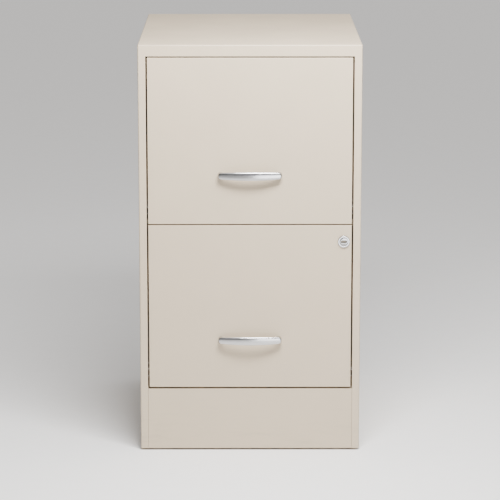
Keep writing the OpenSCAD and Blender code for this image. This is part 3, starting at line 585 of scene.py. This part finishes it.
def pressed_back():
    """The back panel: a flat sheet whose field is pushed inwards with soft slopes, and two raised ribs
    across the field. The height is the eased depth inside each rounded outline."""
    low, high = corners("back_panel")
    thick, rim, edge, push, corner = 0.7 * MM, 42 * MM, 9 * MM, 3 * MM, 26 * MM
    rib_push, rib_half, rib_short = 2.4 * MM, 10 * MM, 30 * MM
    rear = high[1]
    half, foot, head = high[0] - rim, low[2] + rim, high[2] - rim
    xs = spaced((low[0], -half - edge, 2), (-half - edge, -half + 5 * edge, 36),
                (-half + 5 * edge, half - 5 * edge, 6), (half - 5 * edge, half + edge, 36),
                (half + edge, high[0], 2))
    zs = spaced((low[2], foot - edge, 2), (foot - edge, foot + 4 * edge, 30),
                (foot + 4 * edge, head - 4 * edge, 90), (head - 4 * edge, head + edge, 30),
                (head + edge, high[2], 2))
    x, z = np.meshgrid(xs, zs, indexing="ij")
    depth = push * smooth(inside(x, z, half, head, foot, corner) / edge)
    for share_up in (1 / 3, 2 / 3):
        level = foot + share_up * (head - foot)
        rib = inside(x, z, half - rib_short, level + rib_half, level - rib_half, rib_half)
        depth = depth - rib_push * smooth(rib / edge)
    outer = np.stack([x, rear - depth, z], axis=-1)
    return [shell(outer, outer - np.array([0, thick, 0]))]


def pop_rivets():
    """Domed rivets through the back panel's edge, one for each hole in the case's rear flange."""
    low, high = corners("back_rivets")
    head, crown, stem, head_t = 3.2 * MM, 2.2 * MM, 1.5 * MM, 0.9 * MM
    rows = np.linspace(low[2] + head, high[2] - head, 4)
    path = [(high[1] + 1.1 * MM, 0.9 * MM), (high[1] + head_t, crown), (high[1], head), (high[1], stem),
            (low[1] + MM, stem), (low[1] + head_t, head), (low[1], crown), (low[1], 0.4 * MM)]
    dome = rounded_profile(path, np.array([0.5, 0.05, 0.05, 0.05, 0.05, 0.5]) * MM)
    return [solid(capped(turned(dome, (side * (high[0] - head), 0, z), "y", 24)))
            for side in (-1, 1) for z in rows]


# ---- drawers -----------------------------------------------------------------------------------

def raised_cosine(away, half):
    """1 at the middle and 0 from half a width away: the squared cosine across a bead or a rib."""
    return np.cos(np.clip(away / half, -1, 1) * math.pi / 2) ** 2


def drawer_side(level, side):
    """One folded sheet: flange, wall with two long beads pressed inwards, and an upper edge rolled over
    for the folders. A bead's height is a raised cosine across it, eased at its ends."""
    low, high = corners(f"{level}_{side}_side")
    sign = -1 if side == "left" else 1
    reach = max(abs(low[0]), abs(high[0]))
    h = SHEET / 2
    hem, drop, tab = 3.5 * MM, 9 * MM, 12 * MM
    beads, bead_half, bead_push = (95 * MM, 175 * MM), 7 * MM, 1.5 * MM
    bead_end, bead_ease = 34 * MM, 12 * MM
    path = [(reach - tab, low[2] + h), (reach - h, low[2] + h), (reach - h, high[2] - h),
            (reach - hem + h, high[2] - h), (reach - hem + h, high[2] - drop)]
    line, normal = folded(path, np.array([0.8, 1.2, 1.2]) * MM)
    wall = np.linspace(low[2] + 70 * MM, low[2] + 200 * MM, 131)
    at = np.searchsorted(line[:len(line) // 2 + 1, 1], wall[0])
    line = np.insert(line, at, np.stack([np.full(wall.shape, reach - h), wall], 1), axis=0)
    normal = np.insert(normal, at, np.tile(normal[at - 1], (len(wall), 1)), axis=0)
    plain, eased = 30 * MM, 60 * MM
    ys = spaced((low[1], low[1] + plain, 1), (low[1] + plain, low[1] + eased, 14),
                (low[1] + eased, high[1] - eased, 2), (high[1] - eased, high[1] - plain, 14),
                (high[1] - plain, high[1], 1))
    y, z = ys[:, None], line[None, :, 1]
    along = smooth((y - low[1] - bead_end) / bead_ease) * smooth((high[1] - bead_end - y) / bead_ease)
    push = sum(raised_cosine(z - low[2] - up, bead_half) for up in beads)
    push = bead_push * push * along * (np.abs(line[None, :, 0] - reach + h) < 1e-6)
    grids = []
    for face in (1, -1):
        skin = line + face * normal * h
        x = skin[None, :, 0] - push
        planes = (sign * x, np.broadcast_to(y, x.shape), np.broadcast_to(skin[None, :, 1], x.shape))
        grids.append(np.stack(planes, axis=-1))
    outer, inner = sorted(grids, key=lambda g: -np.abs(g[..., 0]).max())
    wing = upright(sign * (reach - tab), sign * (reach - 2 * h), low[1], low[1] + SHEET,
                   low[2] + 2 * tab, high[2] - 2 * tab)
    return [shell(outer, inner, mask=fold_mask(normal)), wing]


def upright(x0, x1, y0, y1, z0, z1):
    """A flat rectangular sheet between two depths."""
    x, z = np.meshgrid(sorted((x0, x1)), (z0, z1), indexing="ij")
    return shell(np.stack([x, np.full(x.shape, y0), z], -1), np.stack([x, np.full(x.shape, y1), z], -1))


def drawer_bottom(level):
    """The bottom sheet, turned up behind the liner, with three long ribs raised from it."""
    low, high = corners(f"{level}_bottom")
    h = SHEET / 2
    bend, rib_half, rib_rise, rib_end, rib_ease = 0.8 * MM, 9 * MM, 1.6 * MM, 30 * MM, 10 * MM
    start, eased = 26 * MM, 44 * MM
    base = low[2] + h
    line, normal = folded([(low[1] + h, high[2]), (low[1] + h, base), (high[1], base)], bend)
    ys = spaced((low[1] + start, low[1] + eased, 12), (low[1] + eased, high[1] - eased, 2),
                (high[1] - eased, high[1] - start, 12))
    line = np.insert(line, -1, np.stack([ys, np.full(ys.shape, base)], 1), axis=0)
    normal = np.insert(normal, -1, np.tile(normal[-1], (len(ys), 1)), axis=0)
    centres = np.array([-0.5, 0.0, 0.5]) * high[0]
    ribs = [c + np.linspace(-9, 9, 25) * MM for c in centres]
    xs = np.unique(np.concatenate([near_ends(low[0], high[0])] + ribs))
    x, y = xs[:, None], line[None, :, 0]
    along = smooth((y - low[1] - rib_end) / rib_ease) * smooth((high[1] - rib_end - y) / rib_ease)
    rise = rib_rise * sum(raised_cosine(x - c, rib_half) for c in centres) * along
    grids = []
    for face in (1, -1):
        skin = line + face * normal * h
        z = skin[None, :, 1] + rise
        planes = (np.broadcast_to(x, z.shape), np.broadcast_to(skin[None, :, 0], z.shape), z)
        grids.append(np.stack(planes, axis=-1))
    return [shell(grids[0], grids[1])]


# ---- handles -----------------------------------------------------------------------------------

def power(value, exponent):
    """Signed power, which turns a circle into a superellipse."""
    return np.sign(value) * np.abs(value) ** exponent


def bowed(half, reach, radius, corner, steps=(6, 8, 40)):
    """Half of a block under an arc, from above: up one leg, round its corner arc, and along the arc of the
    given radius to the middle. The corner arc touches the leg and the large arc from inside."""
    corner_x = half - corner
    corner_d = reach - radius + math.sqrt((radius - corner) ** 2 - corner_x ** 2)
    meet = math.atan2(corner_d - reach + radius, corner_x)
    leg = np.linspace(0, corner_d, steps[0], endpoint=False)
    turn = np.linspace(0, meet, steps[1], endpoint=False)
    sweep = np.linspace(meet, math.pi / 2, steps[2])
    x = np.concatenate([np.full(steps[0], half), corner_x + corner * np.cos(turn), radius * np.cos(sweep)])
    d = np.concatenate([leg, corner_d + corner * np.sin(turn), reach - radius + radius * np.sin(sweep)])
    return np.stack([x, d], axis=1)


def mirrored(line):
    """A half line that ends on the middle, carried on to the other side."""
    return np.concatenate([line, line[-2::-1] * np.array([-1, 1])])


def bow(node):
    """A bow handle. An outer and an inner line from foot to foot give pairs of points; the section between
    a pair is a superellipse as tall as the swelling bar."""
    low, high = corners(node)
    half, reach, tall = high[0], high[1] - low[1], high[2] - low[2]
    rise, thick, foot, end_tall = 7 * MM, 4 * MM, 9 * MM, 10.5 * MM
    corner, fillet = 4 * MM, 3 * MM
    radius = (half ** 2 + rise ** 2) / (2 * rise)
    outer = mirrored(bowed(half, reach, radius, corner))
    inner = mirrored(bowed(half - foot, reach - thick, radius - thick, fillet))
    middle, arm = (outer + inner) / 2, (outer - inner) / 2
    up = (tall - (tall - end_tall) * (middle[:, 0] / half) ** 2) / 2
    t = np.linspace(0, 2 * math.pi, 48, endpoint=False)
    c, s = power(np.cos(t), 0.9), power(np.sin(t), 0.85)
    x = middle[:, :1] + arm[:, :1] * c
    d = middle[:, 1:] + arm[:, 1:] * c
    z = (low[2] + high[2]) / 2 + up[:, None] * s
    return [solid(capped(np.stack([x, high[1] - d, z], axis=-1)))]


# ---- lock --------------------------------------------------------------------------------------

def lock_centre():
    """Where the lock's axis meets the front."""
    low, high = corners("lock_barrel")
    return np.array([(low[0] + high[0]) / 2, FRONT_Y, (low[2] + high[2]) / 2])


def lock_body():
    """The lock's bezel and barrel: a closed outline turned about the lock's axis, with the barrel's two
    flats made by holding its height."""
    low, high = corners("lock_barrel")
    rim, barrel, bore, seat = (high[0] - low[0]) / 2, 8 * MM, 6.12 * MM, 6.95 * MM
    face, end = low[1] - FRONT_Y, high[1] - FRONT_Y
    path = [(0, barrel + MM), (0, rim), (face, rim), (face, seat), (-0.6 * MM, seat), (-0.6 * MM, bore),
            (end, bore), (end, barrel), (0, barrel), (0, barrel + MM)]
    ring = rounded_profile(path, np.array([0.15, 1.1, 0.35, 0.1, 0.1, 0.2, 0.4, 0.05]) * MM)[:-1]
    grid = turned(ring, (0, 0, 0), "y", 96)
    behind = (grid[..., 1] > 0.01 * MM)[..., None]
    flat = 6.5 * MM
    clipped = grid.copy()
    clipped[..., 2] = np.clip(grid[..., 2], -flat, flat)
    return [solid(np.where(behind, clipped, grid) + lock_centre(), wrap_rows=True)]


def lock_turning():
    """The plug: its outline runs out of the keyway's far end, over the face, round the head and down the
    body to a square end. Keyway rows are superellipses as wide as a key, and the others are circles. The
    mask is painted shade: it blackens the keyway, a thin ring round it on the face, and the plug's edge
    where it meets the bezel and what lies behind it."""
    low, high = corners("lock_plug")
    face, end = low[1] - FRONT_Y, high[1] - FRONT_Y
    t = np.linspace(0, 2 * math.pi, 64, endpoint=False)
    slot = np.stack([4.4 * MM * power(np.cos(t), 0.3), 1.5 * MM * power(np.sin(t), 0.3)], axis=1)
    key_end, neck, arm_end = 11 * MM, -0.8 * MM, end - 1.7 * MM
    rim, body, arm, square = 6.8 * MM, 6.0 * MM, 4.1 * MM, 3 * MM

    def ring(radius):
        return radius * np.stack([np.cos(t), np.sin(t)], axis=1)

    shapes = [(slot * 0.01, key_end), (slot, key_end), (slot, face + 0.5 * MM),
              (slot + ring(0.12 * MM), face + 0.12 * MM), (slot + ring(0.4 * MM), face),
              (slot + ring(0.9 * MM), face), (ring(6.3 * MM), face), (ring(6.68 * MM), face + 0.12 * MM),
              (ring(rim), face + 0.4 * MM), (ring(rim), neck), (ring(body), neck), (ring(body), arm_end),
              (ring(arm), arm_end), (ring(arm), end)]
    rows = np.stack([np.stack([p[:, 0], np.full(len(t), y), p[:, 1]], axis=-1) for p, y in shapes])
    rows[-2:, :, ::2] = np.clip(rows[-2:, :, ::2], -square, square)
    # painted shade: the keyway rows, a thin ring round the slot on the face, and the plug's edge and all
    # behind it are set to 1, which the chrome turns black
    painted_shade_rows = np.zeros((len(rows) + 2, 1))
    painted_shade_rows[:6] = painted_shade_rows[8:] = 1.0
    return [solid(capped(rows + lock_centre()), mask=painted_shade_rows)]


# ---- rollers and feet --------------------------------------------------------------------------

def roller(node):
    """A moulded roller: a closed outline with rounded edges, a recess in each face and a bore, turned
    about its own axis."""
    low, high = corners(node)
    radius, bore, recess, sunk = (high[2] - low[2]) / 2, 3.08 * MM, 4.8 * MM, 1.3 * MM
    near, far = low[0] + sunk, high[0] - sunk
    start = (near, bore + 0.3 * MM)
    path = [start, (near, recess), (low[0], recess), (low[0], radius), (high[0], radius), (high[0], recess),
            (far, recess), (far, bore), (near, bore), start]
    ring = rounded_profile(path, np.array([0.1, 0.25, 0.8, 0.8, 0.25, 0.1, 0.1, 0.1]) * MM)[:-1]
    centre = (0, (low[1] + high[1]) / 2, (low[2] + high[2]) / 2)
    return [solid(turned(ring, centre, "x", 64), wrap_rows=True)]


def glide(node):
    """A moulded foot: pad, stem and snap head, turned about its own axis."""
    low, high = corners(node)
    pad, stem, head = (high[0] - low[0]) / 2, 3.9 * MM, 4.7 * MM
    chamfer, seat = 0.8 * MM, 3.75 * MM
    top = high[2] - 2.5 * MM
    path = [(0, 0.5 * MM), (0, pad - chamfer), (chamfer, pad), (seat, pad), (seat, stem), (top, stem),
            (top, head), (high[2], stem), (high[2], 0.4 * MM)]
    outline = rounded_profile(path, np.array([0.5, 0.6, 0.5, 0.2, 0.1, 0.15, 0.6]) * MM)
    centre = ((low[0] + high[0]) / 2, (low[1] + high[1]) / 2, low[2])
    return [solid(capped(turned(outline, centre, "z", 56)))]


# ---- settings ----------------------------------------------------------------------------------

def colour(name, description, default):
    """A colour setting."""
    return FloatVectorProperty(name=name, description=description, default=default, subtype="COLOR",
                               min=0, max=1)


def share(name, description, default, high=1.0):
    """A setting between 0 and its highest value."""
    return FloatProperty(name=name, description=description, default=default, min=0, max=high)


def power_of(name, description, default):
    """A lamp's power."""
    return FloatProperty(name=name, description=description, default=default, min=0)


def length(name, description, default):
    """A length setting."""
    return FloatProperty(name=name, description=description, default=default, unit="LENGTH")


class CabinetFinish(bpy.types.PropertyGroup):
    """Colours and surface qualities"""
    putty: colour("Paint", "Colour of the powder coat", (0.535, 0.437, 0.316))
    gloss: share("Paint roughness", "Roughness of the powder coat", 0.42)
    wear: share("Edge wear", "How much the paint is rubbed along folded edges", 0.32)
    marks: share("Floor marks", "How strong the shoe marks near the floor are", 0.35)
    handle_chrome: colour("Handles", "Colour of the satin chrome", (0.50, 0.50, 0.505))
    lock_chrome: colour("Lock", "Colour of the bright chrome", (0.36, 0.36, 0.37))
    zinc: colour("Zinc plate", "Colour of the slides and gussets", (0.58, 0.60, 0.62))
    brass: colour("Brass", "Colour of the lock's tarnished wafers", (0.060, 0.045, 0.025))
    nylon: colour("Rollers", "Colour of the nylon rollers", (0.80, 0.78, 0.70))
    feet: colour("Feet", "Colour of the glides", (0.035, 0.035, 0.038))


class CabinetStage(bpy.types.PropertyGroup):
    """Floor, lights and camera"""
    floor: colour("Floor", "Colour of the floor", (0.88, 0.87, 0.86))
    surround: colour("Surround", "Colour of the plain surround", (1.0, 0.985, 0.97))
    eye_level: share("Eye level", "Brightness of the surround at eye level, as a share of overhead", 0.18)
    surround_power: share("Surround brightness", "Strength of the plain surround overhead", 1.25, 5.0)
    key: power_of("Key light", "Power of the light above the front", 43.0)
    side: power_of("Side light", "Power of the tall light on the right", 3.0)
    low: power_of("Low light", "Power of the panel that only glossy finishes mirror", 7.0)
    distance: length("Camera distance", "From the front plane", 3.82)
    height: length("Camera height", "Above the floor", 1.142)
    aside: length("Camera offset", "To the right of the middle", -0.009)
    lens: FloatProperty(name="Focal length", description="On a sensor 36 mm wide", default=172.0,
                        unit="CAMERA")


# ---- materials in use --------------------------------------------------------------------------

def finishes():
    """The object's materials by name, made on first use."""
    if not made:
        look = bpy.context.scene.cabinet_finish
        groups = {f.__name__: f() for f in (powder_coat, edge_wear, scuffs, brushed)}
        putty, zinc, chrome = tuple(look.putty), tuple(look.zinc), tuple(look.handle_chrome)
        made["putty"] = paint("putty_paint", groups, putty, look.gloss, look.marks, look.wear)
        made["inside"] = paint("putty_paint_inside", groups, putty, look.gloss + 0.06, 0.0, 0.1)
        made["handle"] = plated("satin_chrome", groups, chrome, (26.0, 700.0, 900.0),
                                0.24, 0.10, 0.0012, 0.10)
        made["lock"] = plated("bright_chrome", groups, tuple(look.lock_chrome), (260.0, 90.0, 260.0),
                              0.13, 0.08, 0.0008, 0.10)
        made["zinc"] = plated("zinc_plate", groups, zinc, (900.0, 30.0, 900.0), 0.36, 0.22, 0.003, 0.5)
        made["fastener"] = plated("zinc_fastener", groups, zinc, (500.0, 60.0, 500.0), 0.30, 0.2, 0.002, 0.4)
        made["brass"] = plated("brass", groups, tuple(look.brass), (400.0, 400.0, 60.0), 0.3, 0.2, 0.002, 0.4)
        made["nylon"] = moulded("roller_nylon", tuple(look.nylon), 0.42, 0.25)
        made["feet"] = moulded("glide_nylon", tuple(look.feet), 0.5, 0.4)
    return made


made = {}


def dress(material_name, *nodes):
    """Gives a finish to CAD nodes that stay as they are."""
    for node in nodes:
        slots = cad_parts[node].data.materials
        slots.clear()
        slots.append(finishes()[material_name])


# ---- operators ---------------------------------------------------------------------------------

class CABINET_OT_case(bpy.types.Operator):
    """Build the folded case, its back panel and its kick plate"""
    bl_idname = "cabinet.case"
    bl_label = "Case"
    bl_options = {"REGISTER", "UNDO"}

    def execute(self, context):
        look = finishes()
        piece("case_shell", case_sides(), "case", look["putty"], ["case_wrap"])
        piece("kick_pan", kick_pan(), "case", look["putty"], ["kick_plate"])
        piece("pressed_back", pressed_back(), "case", look["putty"], ["back_panel"])
        piece("pop_rivets", pop_rivets(), "case", look["fastener"], ["back_rivets"])
        dress("inside", "mid_rail", "rear_base_rail")
        dress("zinc", "corner_gussets")
        return {"FINISHED"}


class CABINET_OT_feet(bpy.types.Operator):
    """Build the four moulded glides"""
    bl_idname = "cabinet.feet"
    bl_label = "Feet"
    bl_options = {"REGISTER", "UNDO"}

    def execute(self, context):
        look = finishes()
        for end in ("front", "rear"):
            for side in SIDES:
                node = f"glide_{end}_{side}"
                piece(node + "_foot", glide(node), "case", look["feet"], [node])
        return {"FINISHED"}


class CABINET_OT_fronts(bpy.types.Operator):
    """Build both drawer fronts as folded pans, the lower one with a slot for the lock's cam"""
    bl_idname = "cabinet.fronts"
    bl_label = "Drawer fronts"
    bl_options = {"REGISTER", "UNDO"}

    def execute(self, context):
        look = finishes()
        cam_low, cam_high = corners("lock_cam")
        room, above, lip, bend = MM, 7 * MM, 8 * MM, 0.9 * MM
        cam_slot = ((cam_low[1] - room, cam_high[1] + room), (cam_low[2] - room, lock_centre()[2] + above))
        for level in LEVELS:
            low, high = corners(f"{level}_front")
            part = pan(low[[0, 2]], high[[0, 2]], high[1] - low[1], lip, bend, low[1],
                       cam_slot if level == "lower" else None)
            piece(f"{level}_front_pan", [part], f"{level}_drawer", look["putty"],
                  [f"{level}_front"])
            dress("inside", f"{level}_liner")
        return {"FINISHED"}


class CABINET_OT_drawers(bpy.types.Operator):
    """Build the drawers' sides and bottoms"""
    bl_idname = "cabinet.drawers"
    bl_label = "Drawer bodies"
    bl_options = {"REGISTER", "UNDO"}

    def execute(self, context):
        look = finishes()
        for level in LEVELS:
            body = f"{level}_drawer"
            for side in SIDES:
                piece(f"{level}_{side}_beaded_side", drawer_side(level, side), body, look["inside"],
                      [f"{level}_{side}_side"])
            piece(f"{level}_ribbed_bottom", drawer_bottom(level), body, look["inside"],
                  [f"{level}_bottom"])
            dress("inside", f"{level}_back")
        return {"FINISHED"}


class CABINET_OT_handles(bpy.types.Operator):
    """Build the two bow handles"""
    bl_idname = "cabinet.handles"
    bl_label = "Handles"
    bl_options = {"REGISTER", "UNDO"}

    def execute(self, context):
        look = finishes()
        for level in LEVELS:
            node = f"{level}_handle"
            piece(f"{level}_bow", bow(node), f"{level}_drawer", look["handle"], [node],
                  sharp=60)
            dress("fastener", f"{level}_handle_screws")
        return {"FINISHED"}


class CABINET_OT_lock(bpy.types.Operator):
    """Build the lock's bezel and barrel and the plug that turns in it"""
    bl_idname = "cabinet.lock"
    bl_label = "Lock"
    bl_options = {"REGISTER", "UNDO"}

    def execute(self, context):
        look = finishes()
        piece("lock_bezel", lock_body(), "lower_drawer", look["lock"], ["lock_barrel"],
              sharp=40)
        piece("lock_core_plug", lock_turning(), "lock_core", look["lock"], ["lock_plug"],
              sharp=35)
        dress("brass", "lock_wafers")
        dress("zinc", "lock_clip", "lock_cam")
        dress("fastener", "lock_cam_screw")
        return {"FINISHED"}


class CABINET_OT_slides(bpy.types.Operator):
    """Build the eight rollers and finish the rails, pins and rivets they run with"""
    bl_idname = "cabinet.slides"
    bl_label = "Slides"
    bl_options = {"REGISTER", "UNDO"}

    def execute(self, context):
        look = finishes()
        for level in LEVELS:
            for side in SIDES:
                for end in ("front", "rear"):
                    node = f"{level}_{side}_{end}_roller"
                    piece(node + "_wheel", roller(node), node, look["nylon"], [node], sharp=40)
                dress("zinc", f"{level}_{side}_case_rail", f"{level}_{side}_drawer_rail")
            dress("fastener", f"{level}_rail_rivets", f"{level}_roller_pins")
        dress("fastener", "case_rail_rivets", "case_roller_pins")
        return {"FINISHED"}


class CABINET_OT_stage(bpy.types.Operator):
    """Set out the floor, the lights and the camera"""
    bl_idname = "cabinet.stage"
    bl_label = "Stage"
    bl_options = {"REGISTER", "UNDO"}

    def execute(self, context):
        stage = context.scene.cabinet_stage
        made_floor, w, shader, place = material("stage_floor", Roughness=0.75)
        grain = w.noise(place, 35.0, 6.0, 0.6)
        base = tuple(stage.floor)
        w.put(shader.inputs["Base Color"], w.mix(grain, (*base, 1.0), darker(base, 0.95)))
        mesh = bpy.data.meshes.new("stage_floor")
        wide = 40.0
        square = [(-wide, -wide, 0), (wide, -wide, 0), (wide, wide, 0), (-wide, wide, 0)]
        mesh.from_pydata(square, [], [(0, 1, 2, 3)])
        mesh.materials.append(made_floor)
        floor = bpy.data.objects.new("stage_floor", mesh)
        context.scene.collection.objects.link(floor)
        context.scene.world = self.surround(stage)
        target = Vector((0, FRONT_Y, (CASE_LOW[2] + CASE_HIGH[2]) / 2))
        front = Vector((0, FRONT_Y, 0))
        self.lamp("key_light", front + Vector((0.15, -0.55, 1.28)), target, (0.6, 0.3), stage.key)
        self.lamp("side_light", front + Vector((1.5, -2.2, 0.9)), target, (1.0, 1.6), stage.side)
        panel = self.lamp("low_light", front + Vector((0.50, -1.05, 0.24)), target, (0.8, 0.40), stage.low)
        panel.visible_diffuse = False
        lens = bpy.data.cameras.new("front_camera")
        lens.lens, lens.sensor_width = stage.lens, 36.0
        camera = bpy.data.objects.new("front_camera", lens)
        context.scene.collection.objects.link(camera)
        self.aim(camera, (stage.aside, FRONT_Y - stage.distance, stage.height), target)
        context.scene.camera = camera
        return {"FINISHED"}

    def surround(self, stage):
        """A plain surround: brightest overhead, darker at eye level and darker still to the left."""
        world = bpy.data.worlds.new("surround")
        world.use_nodes = True
        w = Wiring(world.node_tree)
        way = w.node("SeparateXYZ", Vector=w.node("TexCoord").outputs["Generated"]).outputs
        up = w.fade(way["Z"], 0.1, 0.8, stage.eye_level, 1.0)
        across = w.fade(way["X"], -0.6, 0.4, 0.4, 1.15)
        level = w.math("MULTIPLY", w.math("MULTIPLY", up, across), stage.surround_power)
        back = world.node_tree.nodes["Background"]
        back.inputs["Color"].default_value = (*stage.surround, 1.0)
        w.put(back.inputs["Strength"], level)
        return world

    def lamp(self, name, place, target, size, power):
        """Adds a rectangular lamp and points it at the target."""
        light = bpy.data.lights.new(name, "AREA")
        light.shape, light.size, light.size_y, light.energy = "RECTANGLE", *size, power
        lamp = bpy.data.objects.new(name, light)
        bpy.context.scene.collection.objects.link(lamp)
        self.aim(lamp, place, target)
        return lamp

    def aim(self, thing, place, target):
        """Puts a lamp or the camera in its place, looking at the target."""
        thing.location = place
        thing.rotation_euler = (target - Vector(place)).to_track_quat("-Z", "Y").to_euler()


class CABINET_PT_panel(bpy.types.Panel):
    """Sizes, finishes and the steps that build the cabinet"""
    bl_idname = "CABINET_PT_panel"
    bl_label = "Filing Cabinet"
    bl_space_type = "VIEW_3D"
    bl_region_type = "UI"
    bl_category = "Filing Cabinet"

    def draw(self, context):
        for settings in (context.scene.cabinet_finish, context.scene.cabinet_stage):
            box = self.layout.box()
            for name in settings.__annotations__:
                box.prop(settings, name)
        for step in STEPS:
            self.layout.operator(step.bl_idname)


STEPS = (CABINET_OT_case, CABINET_OT_feet, CABINET_OT_fronts, CABINET_OT_drawers, CABINET_OT_handles,
         CABINET_OT_lock, CABINET_OT_slides, CABINET_OT_stage)
CLASSES = (CabinetFinish, CabinetStage, *STEPS, CABINET_PT_panel)


def register():
    for cls in CLASSES:
        bpy.utils.register_class(cls)
    bpy.types.Scene.cabinet_finish = PointerProperty(type=CabinetFinish)
    bpy.types.Scene.cabinet_stage = PointerProperty(type=CabinetStage)


def unregister():
    del bpy.types.Scene.cabinet_stage
    del bpy.types.Scene.cabinet_finish
    for cls in reversed(CLASSES):
        bpy.utils.unregister_class(cls)


def main():
    register()
    for step in STEPS:
        family, name = step.bl_idname.split(".")
        getattr(getattr(bpy.ops, family), name)()


if __name__ == "__main__":
    main()
